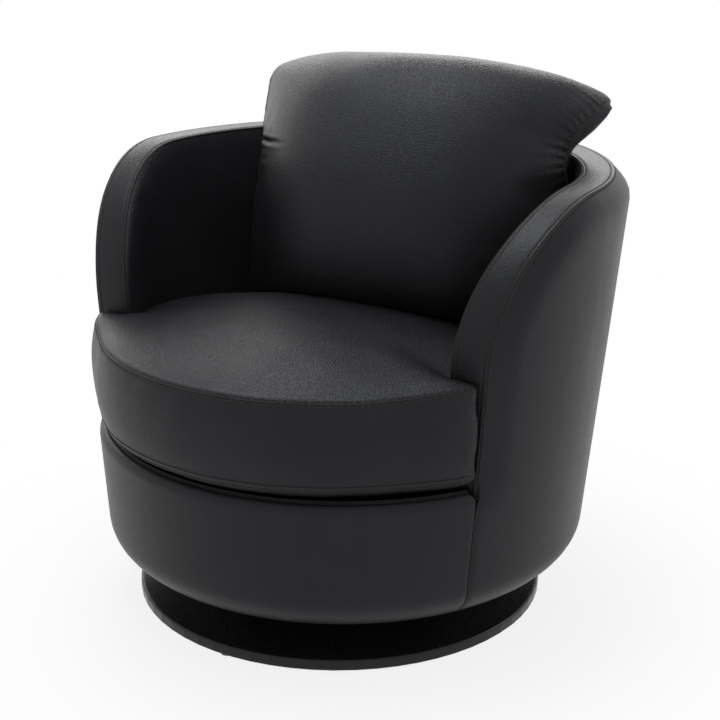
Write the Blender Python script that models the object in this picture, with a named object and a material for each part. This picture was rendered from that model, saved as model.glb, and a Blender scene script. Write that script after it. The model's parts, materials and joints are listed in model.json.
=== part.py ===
"""Swivel tub chair in black leather.

A round base disc stands on glides and carries a ball-bearing swivel. The swivel carries
a bucket-shaped body: a bottom board, a seat box with webbing, a curved shell core, padded
leather covers outside, padded leather inside and a leather band round the rim. A loose
round-fronted seat cushion and a loose back pillow lie in the body.

Metres, +Z up, the front of the chair looks along -Y. The swivel axis is the Z axis and the
floor is z = 0. Insets in the wall are measured inwards from the outer leather surface.
"""

import math

import bmesh
import bpy
from mathutils import Vector
from mathutils.bvhtree import BVHTree

# Clearances between pieces
TOUCH_GAP = 0.0003
SOFT_GAP = 0.0006
CUSHION_SIDE_GAP = 0.004
PILLOW_SIDE_GAP = 0.0035

# Base disc and glides
BASE_RADIUS = 0.305
BASE_THICKNESS = 0.016
BASE_EDGE_ROUND = 0.004
BASE_FOOT_CHAMFER = 0.0016
GLIDE_COUNT = 4
GLIDE_RADIUS = 0.011
GLIDE_HEIGHT = 0.003
GLIDE_CHAMFER = 0.00075
GLIDE_EDGE_DISTANCE = 0.014
CENTRE_GLIDE_RADIUS = 0.016
GLIDE_PIN_RADIUS = 0.0025
GLIDE_PIN_LENGTH = 0.008

# Swivel bearing between the base disc and the bottom board
BLOCK_RADIUS = 0.150
BLOCK_HEIGHT = 0.0355
PLATE_THICKNESS = 0.003
LOWER_PLATE_RADIUS = 0.122
UPPER_PLATE_RADIUS = 0.142
BALL_COUNT = 8
BALL_RADIUS = 0.005
BALL_TRACK_RADIUS = 0.100
CAGE_WIDTH = 0.018
CAGE_THICKNESS = 0.003
BALL_CLEARANCE = 0.0006
BOLT_RADIUS = 0.003
BOLT_HEAD_RADIUS = 0.0052
BOLT_HEAD_HEIGHT = 0.0034
BOLT_HEAD_TOP_SHARE = 0.85
BOLT_HEAD_CHAMFER_SHARE = 0.75
BOLT_FIRST_ANGLE = 45.0
BOLT_CLEARANCE = 0.0004
PLATE_BOLT_COUNT = 4
PLATE_BOLT_CIRCLE = 0.068
PLATE_BOLT_GRIP = 0.010
SEAT_BOLT_COUNT = 4
SEAT_BOLT_CIRCLE = 0.129
SEAT_BOLT_LENGTH = 0.016
KING_BOLT_RADIUS = 0.006
KING_HEAD_RADIUS = 0.011
KING_HEAD_HEIGHT = 0.0075
KING_NUT_RADIUS = 0.0115
KING_NUT_HEIGHT = 0.0095
KING_WASHER_RADIUS = 0.015
KING_WASHER_THICKNESS = 0.002
KING_BOLT_END = 0.002
KING_POCKET_CLEARANCE = 0.002
BOARD_HOLE_CLEARANCE = 0.004

# Frame inside the body
BOARD_THICKNESS = 0.018
PANEL_THICKNESS = 0.018
SEAT_BOX_WIDTH = 0.370
SEAT_BOX_DEPTH = 0.410
SEAT_BOX_HEIGHT = 0.1720
SEAT_BOX_FRONT_Y = -0.190
STRAP_WIDTH = 0.050
STRAP_THICKNESS = 0.0015
STRAPS_EACH_WAY = 3
STRAP_SPACING = 0.115
DECK_THICKNESS = 0.002
DUST_COVER_THICKNESS = 0.001
CORE_THICKNESS = 0.010
CORE_LIP = 0.012

# Outer shape of the body
FOOT_RADIUS = 0.3535
SHELL_FLARE = 0.085
FOOT_SETBACK = 0.0148
BACK_RAKE = 0.035
BODY_HEIGHT = 0.5693
FOOT_ROUND_DEPTH = 0.060
FOOT_ROUND_HEIGHT = 0.054
ARM_FRONT_Y = -0.155
ARM_CORNER_RADIUS = 0.205
SIDE_SEAM_ANGLE = 140.0

# Upholstery of the wall
COVER_THICKNESS = 0.026
BAND_THICKNESS = 0.006
FRONT_SEAM_INSET = 0.012
RIM_SEAM_INSET = 0.0245
BAND_WIDTH = 0.0455
WALL_THICKNESS = 0.065
EDGE_ROLL = 0.035
EDGE_ROLL_SHARES = (0.0, 0.25, 0.8)
WALL_ROWS = 3
FRONT_ROLL_RADIUS = 0.018
FRONT_ROLL_TOP = 0.032
BAND_EDGE_ROUND = 0.0025
BAND_CROWN_DROP = 0.0008

# Seat cushion
CUSHION_FRONT_RADIUS = 0.3355
CUSHION_CENTRE_Y = -0.017
CUSHION_FOOT = 0.019
CUSHION_FOOT_RISE = 0.0057
CUSHION_BAND_HEIGHT = 0.119
CUSHION_BAND_BULGE = 0.012
CUSHION_CROWN = 0.038
CUSHION_CORNER_ROUND = 0.010
CUSHION_CORNER_TUCK = 0.003
CUSHION_CROWN_SQUARENESS = 2.6
CUSHION_CROWN_FULLNESS = 0.62
CUSHION_PRESSED_SHARE = 0.62
CUSHION_PRESSED_FROM_Y = -0.050
CUSHION_PRESSED_OVER = 0.100
CUSHION_BACK_DROP = 0.041
CUSHION_DROP_FROM_Y = -0.160
CUSHION_DROP_OVER = 0.320
CUSHION_UNDER_SHARES = (0.55, 0.91)
CUSHION_FOOT_SHARE = 0.97
CUSHION_SEAM_SHARE = 0.995
CUSHION_BAND_SHARES = (0.08, 0.3, 0.5, 0.7, 0.92)
CUSHION_TOP_SHARES = (0.975, 0.92, 0.8, 0.6, 0.4, 0.2, 0.05)
WING_DEPTH = 0.035
WING_SPREAD = 0.0135
WING_SPREAD_FROM = 45.0
ZIP_WIDTH = 0.006
ZIP_THICKNESS = 0.0012

# Back pillow, measured in its own leaning frame
PILLOW_HALF_WIDTH = 0.286
PILLOW_HALF_HEIGHT = 0.200
PILLOW_FRONT_SWELL = 0.140
PILLOW_BACK_SWELL = 0.100
PILLOW_SEAM_THICKNESS = 0.004
PILLOW_SQUARENESS = 2.6
PILLOW_FULLNESS = 0.4
PILLOW_LEAN = 28.0
PILLOW_TURN = 6.0
PILLOW_CENTRE_X = 0.011
PILLOW_CENTRE_Y = 0.165
PILLOW_CENTRE_HEIGHT = 0.125
PILLOW_SIDE_BACK = 0.050
PILLOW_EAR_BACK = 0.045
PILLOW_LEFT_EAR_DROP = 0.015
PILLOW_RIGHT_EAR_DROP = 0.031
PILLOW_EAR_POWER = 6
PILLOW_TOP_ARCH = 0.009
PILLOW_CORNER_DROP = 0.022
PILLOW_CORNER_POWER = 3
PILLOW_RIM_CLEARANCE = 0.014
PILLOW_RIM_SPREAD = 1.5

# Facet counts
DISC_SEGMENTS = 64
PLATE_SEGMENTS = 40
SMALL_SEGMENTS = 12
HEX_SIDES = 6
ARC_STATIONS = 7
ARC_LAST_ANGLE = 78.0
SIDE_STATIONS = 4
SIDE_FIRST_ANGLE = 98.0
BACK_STEPS = 6
FRONT_ROLL_STEPS = 5
BASE_EDGE_STEPS = 3
BALL_SEGMENTS = 8
BALL_STEPS = 6
FRONT_STEPS = 10
FOOT_STEPS = 4
CUSHION_FRONT_STEPS = 14
WELL_STEPS = 16
ZIP_STEPS = 6
PILLOW_COLUMNS = 18
PILLOW_ROWS = 14

# Heights worked out from the sizes above, from the floor up
disc_bottom_z = GLIDE_HEIGHT + TOUCH_GAP
disc_top_z = disc_bottom_z + BASE_THICKNESS
block_bottom_z = disc_top_z + TOUCH_GAP
block_top_z = block_bottom_z + BLOCK_HEIGHT
lower_plate_bottom_z = block_top_z + TOUCH_GAP
lower_plate_top_z = lower_plate_bottom_z + PLATE_THICKNESS
ball_centre_z = lower_plate_top_z + TOUCH_GAP + BALL_RADIUS
upper_plate_bottom_z = ball_centre_z + BALL_RADIUS + TOUCH_GAP
upper_plate_top_z = upper_plate_bottom_z + PLATE_THICKNESS
board_bottom_z = upper_plate_top_z + TOUCH_GAP
board_top_z = board_bottom_z + BOARD_THICKNESS
dust_cover_top_z = board_bottom_z - TOUCH_GAP
body_bottom_z = dust_cover_top_z - DUST_COVER_THICKNESS
rim_z = body_bottom_z + BODY_HEIGHT
box_bottom_z = board_top_z + TOUCH_GAP
box_top_z = box_bottom_z + SEAT_BOX_HEIGHT
long_strap_z = box_top_z + TOUCH_GAP
cross_strap_z = long_strap_z + STRAP_THICKNESS + TOUCH_GAP
deck_bottom_z = cross_strap_z + STRAP_THICKNESS + TOUCH_GAP
deck_top_z = deck_bottom_z + DECK_THICKNESS
cushion_bottom_z = deck_top_z + SOFT_GAP
cushion_lower_seam_z = cushion_bottom_z + CUSHION_FOOT
cushion_upper_seam_z = cushion_lower_seam_z + CUSHION_BAND_HEIGHT

# Insets of the layers of the wall
core_outer_inset = COVER_THICKNESS + TOUCH_GAP
core_inner_inset = core_outer_inset + CORE_THICKNESS
pad_back_inset = core_inner_inset + TOUCH_GAP
pad_widest_inset = max(WALL_THICKNESS, RIM_SEAM_INSET + BAND_WIDTH)
wall_edge = BAND_THICKNESS + TOUCH_GAP
arc_centre_y = ARM_FRONT_Y + ARM_CORNER_RADIUS
arc_centre_z = rim_z - ARM_CORNER_RADIUS
front_end_y = ARM_FRONT_Y + BAND_THICKNESS


def clear_scene():
    for old in list(bpy.data.objects):
        bpy.data.objects.remove(old, do_unlink=True)


def make_material(name, color, roughness, metallic=0.0):
    material = bpy.data.materials.new(name)
    material.use_nodes = True
    shader = material.node_tree.nodes["Principled BSDF"]
    shader.inputs["Base Color"].default_value = (*color, 1.0)
    shader.inputs["Roughness"].default_value = roughness
    shader.inputs["Metallic"].default_value = metallic
    material.diffuse_color = (*color, 1.0)
    return material


def make_mesh(name, vertices, faces, smooth_angle=40.0):
    """Closed mesh with its faces turned outwards and soft shading between small angles."""
    mesh = bpy.data.meshes.new(name)
    mesh.from_pydata(vertices, [], faces)
    work = bmesh.new()
    work.from_mesh(mesh)
    bmesh.ops.recalc_face_normals(work, faces=work.faces)
    work.to_mesh(mesh)
    work.free()
    mesh.shade_smooth()
    mesh.set_sharp_from_angle(angle=math.radians(smooth_angle))
    return mesh


def add_object(name, mesh, material, parent=None, location=(0.0, 0.0, 0.0), turn=0.0):
    made = bpy.data.objects.new(name, mesh)
    bpy.context.collection.objects.link(made)
    made.data.materials.clear()
    made.data.materials.append(material)
    made.location = location
    made.rotation_euler = (0.0, 0.0, turn)
    made.parent = parent
    return made


def add_empty(name, location=(0.0, 0.0, 0.0)):
    empty = bpy.data.objects.new(name, None)
    empty.location = location
    bpy.context.collection.objects.link(empty)
    return empty


def turned(name, profile, segments):
    """Mesh turned round the Z axis from a closed profile of (radius, height) points."""
    vertices = []
    rings = []
    for radius, height in profile:
        if radius < 1e-7:
            rings.append([len(vertices)] * segments)
            vertices.append((0.0, 0.0, height))
            continue
        rings.append(list(range(len(vertices), len(vertices) + segments)))
        for step in range(segments):
            angle = 2.0 * math.pi * (step + 0.5) / segments
            vertices.append((radius * math.cos(angle), radius * math.sin(angle), height))
    faces = []
    for index, ring in enumerate(rings):
        following = rings[(index + 1) % len(rings)]
        for step in range(segments):
            after = (step + 1) % segments
            corners = []
            for corner in (ring[step], ring[after], following[after], following[step]):
                if corner not in corners:
                    corners.append(corner)
            if len(corners) > 2:
                faces.append(corners)
    return make_mesh(name, vertices, faces)


def in_triangles(mesh):
    """The mesh with its faces cut into triangles, so that every tool sees one surface."""
    work = bmesh.new()
    work.from_mesh(mesh)
    bmesh.ops.triangulate(work, faces=work.faces)
    work.to_mesh(mesh)
    work.free()
    return mesh


def loft(name, loops, smooth_angle=40.0):
    """Closed mesh through loops that all have the same number of points."""
    count = len(loops[0])
    vertices = [point for loop in loops for point in loop]
    faces = []
    for row in range(len(loops) - 1):
        for step in range(count):
            after = (step + 1) % count
            first = row * count
            second = first + count
            faces.append((first + step, first + after, second + after, second + step))
    faces.append(tuple(range(count)))
    last = (len(loops) - 1) * count
    faces.append(tuple(range(last, last + count)))
    return make_mesh(name, vertices, faces, smooth_angle)


def slab(name, outline, bottom_z, top_z):
    """Flat piece with a plan outline of (x, y) points."""
    lower = [(x, y, bottom_z) for x, y in outline]
    upper = [(x, y, top_z) for x, y in outline]
    return loft(name, [lower, upper])


def ring_slab(name, outline, hole, bottom_z, top_z):
    """Flat piece with an outline and a hole that have the same number of points."""
    loops = [
        [(x, y, bottom_z) for x, y in outline],
        [(x, y, top_z) for x, y in outline],
        [(x, y, top_z) for x, y in hole],
        [(x, y, bottom_z) for x, y in hole],
    ]
    count = len(outline)
    vertices = [point for loop in loops for point in loop]
    faces = []
    for row in range(4):
        for step in range(count):
            after = (step + 1) % count
            first = row * count
            second = ((row + 1) % 4) * count
            faces.append((first + step, first + after, second + after, second + step))
    return make_mesh(name, vertices, faces)


def box(name, low, high):
    outline = [(low[0], low[1]), (high[0], low[1]), (high[0], high[1]), (low[0], high[1])]
    return slab(name, outline, low[2], high[2])


def circle_places(count, radius, first_angle=0.0):
    """Points on a circle, counted from the front of the chair towards +X."""
    places = []
    for index in range(count):
        angle = math.radians(first_angle + 360.0 * index / count)
        places.append((radius * math.sin(angle), -radius * math.cos(angle)))
    return places


def cut_holes(target, name, holes):
    """Cut upright round holes, each given as (x, y, radius, bottom, top)."""
    vertices = []
    faces = []
    for x, y, radius, bottom, top in holes:
        first = len(vertices)
        second = first + SMALL_SEGMENTS
        for height in (bottom, top):
            for step in range(SMALL_SEGMENTS):
                angle = 2.0 * math.pi * (step + 0.5) / SMALL_SEGMENTS
                vertices.append((x + radius * math.cos(angle), y + radius * math.sin(angle), height))
        for step in range(SMALL_SEGMENTS):
            after = (step + 1) % SMALL_SEGMENTS
            faces.append((first + step, first + after, second + after, second + step))
        faces.append(tuple(range(first, second)))
        faces.append(tuple(range(second, second + SMALL_SEGMENTS)))
    cutter = bpy.data.objects.new(name, make_mesh(name, vertices, faces))
    bpy.context.collection.objects.link(cutter)
    cutter.hide_render = True
    cutter.display_type = "WIRE"
    cutter.parent = target.parent
    cut = target.modifiers.new(name, "BOOLEAN")
    cut.operation = "DIFFERENCE"
    cut.solver = "EXACT"
    cut.object = cutter


# Shape of the body wall

def smooth_step(low, high, value):
    share = min(max((value - low) / (high - low), 0.0), 1.0)
    return share * share * (3.0 - 2.0 * share)


def shell_radius(z):
    return FOOT_RADIUS + SHELL_FLARE * (z - body_bottom_z)


def shell_centre_y(z):
    return FOOT_SETBACK + BACK_RAKE * (z - body_bottom_z)


def wall_stations(first_edge):
    """Upright cuts through one side wall, from the arm front to the seam beside the back.

    Each is a plane of one y on the arm, or a turn angle further back, with the height of
    the wall's top there. The wall stops first_edge inside the band's outer face.
    """
    reach = ARM_CORNER_RADIUS - first_edge
    stations = []
    for index in range(ARC_STATIONS):
        turn = math.radians(ARC_LAST_ANGLE * index / (ARC_STATIONS - 1))
        y = arc_centre_y - reach * math.cos(turn)
        stations.append({"y": y, "top": arc_centre_z + reach * math.sin(turn), "turn": turn})
    last = SIDE_SEAM_ANGLE - seam_half_angle()
    for index in range(SIDE_STATIONS):
        share = index / (SIDE_STATIONS - 1)
        angle = SIDE_FIRST_ANGLE + (last - SIDE_FIRST_ANGLE) * share
        stations.append({"angle": angle, "top": rim_z - first_edge})
    return stations


def back_stations(first_edge):
    first = SIDE_SEAM_ANGLE + seam_half_angle()
    step = (360.0 - 2.0 * first) / BACK_STEPS
    top = rim_z - first_edge
    return [{"angle": first + step * index, "top": top} for index in range(BACK_STEPS + 1)]


def seam_half_angle():
    inner_radius = shell_radius(body_bottom_z) - FOOT_ROUND_DEPTH - CORE_LIP
    return math.degrees(0.5 * TOUCH_GAP / inner_radius)


def wall_point(station, inset, z, side=1.0):
    """Point of the wall at a station, an inset from the outer surface and a height."""
    radius = shell_radius(z) - inset
    centre = shell_centre_y(z)
    if "y" in station:
        y = station["y"]
        return (side * math.sqrt(max(radius * radius - (y - centre) ** 2, 0.0)), y, z)
    angle = math.radians(station["angle"])
    return (side * radius * math.sin(angle), centre - radius * math.cos(angle), z)


def front_point(share, inset, z):
    """Point of the front below the seat, from -1 at the left seam to 1 at the right seam."""
    radius = shell_radius(z) - inset
    centre = shell_centre_y(z)
    end_angle = math.acos((centre - front_end_y) / radius)
    angle = share * end_angle
    return (radius * math.sin(angle), centre - radius * math.cos(angle), z)


def front_shares():
    return [-1.0 + 2.0 * index / FRONT_STEPS for index in range(FRONT_STEPS + 1)]


def shell_outline(inset, z, front_inset=None):
    """Closed plan outline at one inset and height, with the same corners as the wall."""
    front = inset if front_inset is None else front_inset
    points = [front_point(share, front, z) for share in front_shares()]
    side = wall_stations(wall_edge)
    points += [wall_point(station, inset, z, 1.0) for station in side]
    points += [wall_point(station, inset, z) for station in back_stations(wall_edge)]
    points += [wall_point(station, inset, z, -1.0) for station in reversed(side)]
    return [(point[0], point[1]) for point in points]


def edge_distance(station, z):
    """Distance from a place on the wall to the band's outer face, seen from the side."""
    if "angle" in station:
        return rim_z - z
    if z <= arc_centre_z:
        return station["y"] - ARM_FRONT_Y
    return ARM_CORNER_RADIUS - math.hypot(arc_centre_y - station["y"], z - arc_centre_z)


def edge_share(station, z):
    """1 at the wall's free edge, falling to 0 over the edge roll and below the seat deck."""
    near = max(1.0 - edge_distance(station, z) / EDGE_ROLL, 0.0) ** 2
    above_deck = min(max((z - deck_top_z) / EDGE_ROLL, 0.0), 1.0)
    return near * above_deck


def seam_inset(station):
    """Inset of the seam between outer cover and rim band, wider on the rim than in front."""
    if "angle" in station:
        return RIM_SEAM_INSET
    share = smooth_step(0.0, math.radians(ARC_LAST_ANGLE), station.get("turn", 0.0))
    return FRONT_SEAM_INSET + (RIM_SEAM_INSET - FRONT_SEAM_INSET) * share


def foot_arc(inset, lowest_z=None):
    """Rounded foot of the wall as (inset, z) points, from the upright part inwards.

    It stops on its way in where it reaches lowest_z, if that is given.
    """
    wide = FOOT_ROUND_DEPTH - inset
    high = FOOT_ROUND_HEIGHT - inset
    start_z = body_bottom_z + FOOT_ROUND_HEIGHT
    points = []
    for index in range(FOOT_STEPS + 1):
        angle = 0.5 * math.pi * index / FOOT_STEPS
        here = (FOOT_ROUND_DEPTH - wide * math.cos(angle), start_z - high * math.sin(angle))
        if lowest_z is not None and here[1] < lowest_z:
            before = points[-1]
            share = (before[1] - lowest_z) / (before[1] - here[1])
            points.append((before[0] + share * (here[0] - before[0]), lowest_z))
            return points
        points.append(here)
    return points


def upper_rows(station, bottom_z):
    """Heights from the wall's top down to bottom_z, close together under the edge."""
    rows = [station["top"] - share * EDGE_ROLL for share in EDGE_ROLL_SHARES]
    start = rows[-1]
    rows += [start + (bottom_z - start) * index / WALL_ROWS for index in range(1, WALL_ROWS + 1)]
    return rows


def cover_section(station):
    """Outer leather and padding: (inset, z) from the outer top down and back up inside."""
    upright_z = body_bottom_z + FOOT_ROUND_HEIGHT
    rows = upper_rows(station, upright_z)
    seam = seam_inset(station)
    outside = [(seam * edge_share(station, z), z) for z in rows[:-1]]
    outside += foot_arc(0.0)
    inside = foot_arc(COVER_THICKNESS)
    inside.reverse()
    inside.append((COVER_THICKNESS, 0.5 * (upright_z + station["top"])))
    inside.append((COVER_THICKNESS, station["top"]))
    return outside + inside


def core_foot(inset, lip_z):
    points = foot_arc(inset, lip_z)
    points.append((FOOT_ROUND_DEPTH + CORE_LIP, lip_z))
    return points


def core_section(station):
    """Moulded core with a lip that stands on the bottom board."""
    lip_z = board_top_z + TOUCH_GAP
    outside = [(core_outer_inset, station["top"])] + core_foot(core_outer_inset, lip_z)
    inside = core_foot(core_inner_inset, lip_z + CORE_THICKNESS)
    inside.reverse()
    return outside + inside + [(core_inner_inset, station["top"])]


def pad_section(station):
    """Inner leather and padding, standing on the rim of the seat deck."""
    bottom_z = deck_top_z + TOUCH_GAP
    rows = upper_rows(station, bottom_z)
    lean = seam_inset(station) + BAND_WIDTH - WALL_THICKNESS
    seat_side = [(WALL_THICKNESS + lean * edge_share(station, z), z) for z in rows]
    back_side = [(pad_back_inset, bottom_z), (pad_back_inset, station["top"])]
    return seat_side + back_side


def wall_piece(name, section, stations, side=1.0):
    loops = []
    for station in stations:
        loops.append([wall_point(station, inset, z, side) for inset, z in section(station)])
    return loft(name, loops)


def band_section(outer):
    """Across the rim band from its outer seam, as (inset, depth below its top) points."""
    inner = outer + BAND_WIDTH
    return [
        (outer, BAND_THICKNESS),
        (outer, BAND_EDGE_ROUND),
        (outer + BAND_EDGE_ROUND, BAND_CROWN_DROP),
        (0.5 * (outer + inner), 0.0),
        (inner - BAND_EDGE_ROUND, BAND_CROWN_DROP),
        (inner, BAND_EDGE_ROUND),
        (inner, BAND_THICKNESS),
    ]


def band_loop(station, side):
    points = []
    for inset, depth in band_section(seam_inset(station)):
        if "turn" in station:
            reach = ARM_CORNER_RADIUS - depth
            y = arc_centre_y - reach * math.cos(station["turn"])
            z = arc_centre_z + reach * math.sin(station["turn"])
            points.append(wall_point({"y": y}, inset, z, side))
        elif "front_z" in station:
            points.append(wall_point({"y": ARM_FRONT_Y + depth}, inset, station["front_z"], side))
        else:
            points.append(wall_point(station, inset, rim_z - depth, side))
    return points


def side_band(name, side):
    lowest = deck_top_z + TOUCH_GAP
    stations = [{"front_z": lowest}, {"front_z": 0.5 * (lowest + arc_centre_z)}]
    stations += wall_stations(0.0)
    return loft(name, [band_loop(station, side) for station in stations])


def back_band(name):
    return loft(name, [band_loop(station, 1.0) for station in back_stations(0.0)])


def front_cover_section():
    """Front padding: up the outside, over a soft roll and back inside the front board."""
    roll_centre_z = deck_top_z - FRONT_ROLL_RADIUS
    outside = foot_arc(0.0)
    outside.reverse()
    for index in range(FRONT_ROLL_STEPS + 1):
        angle = 0.5 * math.pi * index / FRONT_ROLL_STEPS
        inset = FRONT_ROLL_RADIUS * (1.0 - math.cos(angle))
        outside.append((inset, roll_centre_z + FRONT_ROLL_RADIUS * math.sin(angle)))
    lip_inset = FRONT_ROLL_RADIUS + FRONT_ROLL_TOP
    lip_z = deck_top_z - COVER_THICKNESS
    inside = [(lip_inset, deck_top_z), (lip_inset, lip_z), (COVER_THICKNESS, lip_z)]
    return outside + inside + foot_arc(COVER_THICKNESS)


def front_board_section():
    """Curved board behind the front padding, with the core's lip on the bottom board."""
    top = deck_top_z - COVER_THICKNESS - TOUCH_GAP
    lip_z = board_top_z + TOUCH_GAP
    outside = [(core_outer_inset, top)] + core_foot(core_outer_inset, lip_z)
    inside = core_foot(core_inner_inset, lip_z + CORE_THICKNESS)
    inside.reverse()
    return outside + inside + [(core_inner_inset, top)]


def front_piece(name, section):
    loops = []
    for share in front_shares():
        loops.append([front_point(share, inset, z) for inset, z in section])
    return loft(name, loops)


# Seat cushion and pillow

def wing_back_y():
    return ARM_FRONT_Y - SOFT_GAP


def back_drop(y):
    """How far the cushion's upper seam lies lower than at its front."""
    end = CUSHION_DROP_FROM_Y + CUSHION_DROP_OVER
    return CUSHION_BACK_DROP * smooth_step(CUSHION_DROP_FROM_Y, end, y)


def well_point(angle, z, clearance):
    radius = shell_radius(z) - WALL_THICKNESS - clearance
    return radius * math.sin(angle), shell_centre_y(z) - radius * math.cos(angle)


def well_points(z, clearance, drop_share=0.0):
    """Plan points round the well between the inner pads, from the right arm to the left.

    They lie lower than z by the share that is given of the cushion's fall to the back.
    """
    radius = shell_radius(z) - WALL_THICKNESS - clearance
    narrow = math.acos((shell_centre_y(z) - wing_back_y()) / radius)
    points = []
    for index in range(WELL_STEPS + 1):
        angle = narrow + 2.0 * (math.pi - narrow) * index / WELL_STEPS
        level_y = well_point(angle, z, clearance)[1]
        points.append(well_point(angle, z - drop_share * back_drop(level_y), clearance))
    return points


def cushion_outline(z, bulge=0.0, drop_share=0.0):
    """Plan outline of the seat cushion at one height, counter-clockwise from the left wing.

    The front is an arc whose ends spread and stand as wings in front of the arms. Behind
    them the cushion narrows to the round well between the inner pads.
    """
    wing_radius = CUSHION_FRONT_RADIUS + WING_SPREAD
    end_angle = math.acos((CUSHION_CENTRE_Y - wing_back_y()) / wing_radius)
    front_angle = end_angle - CUSHION_CORNER_ROUND / wing_radius
    spread_from = math.radians(WING_SPREAD_FROM)
    points = []
    for index in range(CUSHION_FRONT_STEPS + 1):
        angle = front_angle * (-1.0 + 2.0 * index / CUSHION_FRONT_STEPS)
        spread = WING_SPREAD * smooth_step(spread_from, front_angle, abs(angle))
        front = CUSHION_FRONT_RADIUS + spread + bulge
        points.append((front * math.sin(angle), CUSHION_CENTRE_Y - front * math.cos(angle)))
    well = well_points(z, CUSHION_SIDE_GAP, drop_share)
    wing_x = points[-1][0]
    corner_x = wing_x - CUSHION_CORNER_TUCK
    side = [(corner_x, wing_back_y()), (0.5 * (wing_x + well[0][0]), wing_back_y())]
    mirrored = [(-x, y) for x, y in reversed(side)]
    return points + side + well + mirrored


def drawn_in(outline, share, z):
    """The outline drawn towards the cushion's centre, at height z.

    It is drawn first towards a point in front of the arms, so that the backs of the wings
    stay clear of them.
    """
    start_y = wing_back_y() - WING_DEPTH
    shift = (CUSHION_CENTRE_Y - start_y) * (1.0 - share) ** 2
    return [(share * x, start_y + shift + share * (y - start_y), z) for x, y in outline]


def crown_height(share, y):
    """Height of the cushion's top above its upper seam.

    It depends on the share of the way out from the centre, and the pillow presses it down.
    """
    pressed_end = CUSHION_PRESSED_FROM_Y + CUSHION_PRESSED_OVER
    along = smooth_step(CUSHION_PRESSED_FROM_Y, pressed_end, y)
    pressed = 1.0 - (1.0 - CUSHION_PRESSED_SHARE) * along
    out = share ** CUSHION_CROWN_SQUARENESS
    return CUSHION_CROWN * pressed * (1.0 - out) ** CUSHION_CROWN_FULLNESS - out * back_drop(y)


def cushion_mesh():
    """Underside, rounded foot, bulging side band and crowned top, from the bottom up."""
    foot = cushion_outline(cushion_bottom_z)
    lower = cushion_outline(cushion_lower_seam_z)
    upper = cushion_outline(cushion_upper_seam_z, 0.0, 1.0)
    loops = [drawn_in(foot, share, cushion_bottom_z) for share in CUSHION_UNDER_SHARES]
    foot_z = cushion_bottom_z + CUSHION_FOOT_RISE
    loops.append(drawn_in(foot, CUSHION_FOOT_SHARE, foot_z))
    loops.append(drawn_in(lower, CUSHION_SEAM_SHARE, cushion_lower_seam_z))
    for share in CUSHION_BAND_SHARES:
        z = cushion_lower_seam_z + share * CUSHION_BAND_HEIGHT
        bulge = CUSHION_BAND_BULGE * math.sqrt(4.0 * share * (1.0 - share))
        row = cushion_outline(z, bulge, share)
        loops.append([(x, y, z - share * back_drop(y)) for x, y in row])
    for share in (CUSHION_SEAM_SHARE, *CUSHION_TOP_SHARES):
        top = drawn_in(upper, share, cushion_upper_seam_z)
        loops.append([(x, y, z + crown_height(share, y)) for x, y, z in top])
    return in_triangles(loft("seat_cushion", loops))


def cushion_zip_mesh():
    """Zip tape round the back of the cushion's side band, halfway up."""
    low = cushion_lower_seam_z + 0.5 * (CUSHION_BAND_HEIGHT - CUSHION_BACK_DROP - ZIP_WIDTH)
    high = low + ZIP_WIDTH
    inner_gap = CUSHION_SIDE_GAP - TOUCH_GAP
    outer_gap = inner_gap - ZIP_THICKNESS
    rows = [(low, inner_gap), (high, inner_gap), (high, outer_gap), (low, outer_gap)]
    rings = [well_points(z, gap) for z, gap in rows]
    first = (WELL_STEPS - ZIP_STEPS) // 2
    loops = []
    for index in range(first, first + ZIP_STEPS + 1):
        loops.append([(*ring[index], z) for ring, (z, gap) in zip(rings, rows)])
    return loft("seat_cushion_zip", loops)


def pillow_point(across, up, face):
    """Point of the pillow as it would be with nothing round it.

    Across and up run from -1 to 1, and face is 1 on the front and -1 on the back.
    """
    side = abs(across) ** PILLOW_SQUARENESS
    swell = PILLOW_FRONT_SWELL if face > 0.0 else PILLOW_BACK_SWELL
    fullness = (1.0 - side) * (1.0 - up * up) ** PILLOW_FULLNESS
    out = 0.5 * PILLOW_SEAM_THICKNESS + swell * fullness
    ear = side * max(up, 0.0) ** PILLOW_EAR_POWER
    ear_drop = PILLOW_LEFT_EAR_DROP if across < 0.0 else PILLOW_RIGHT_EAR_DROP
    corner = side * max(-up, 0.0) ** PILLOW_CORNER_POWER
    lean = math.radians(PILLOW_LEAN)
    high = up * PILLOW_HALF_HEIGHT
    x = across * PILLOW_HALF_WIDTH
    y = high * math.sin(lean) - face * out * math.cos(lean)
    y += side * PILLOW_SIDE_BACK * (1.0 - up) + ear * PILLOW_EAR_BACK
    z = high * math.cos(lean) + face * out * math.sin(lean) - ear * ear_drop
    z += (1.0 - side) * max(up, 0.0) * PILLOW_TOP_ARCH - corner * PILLOW_CORNER_DROP
    turn = math.radians(PILLOW_TURN)
    turned_x = x * math.cos(turn) - y * math.sin(turn)
    turned_y = x * math.sin(turn) + y * math.cos(turn)
    centre_z = cushion_upper_seam_z + CUSHION_CROWN + PILLOW_CENTRE_HEIGHT
    return PILLOW_CENTRE_X + turned_x, PILLOW_CENTRE_Y + turned_y, centre_z + z


def mesh_tree(points, mesh):
    return BVHTree.FromPolygons(points, [tuple(face.vertices) for face in mesh.polygons])


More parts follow.
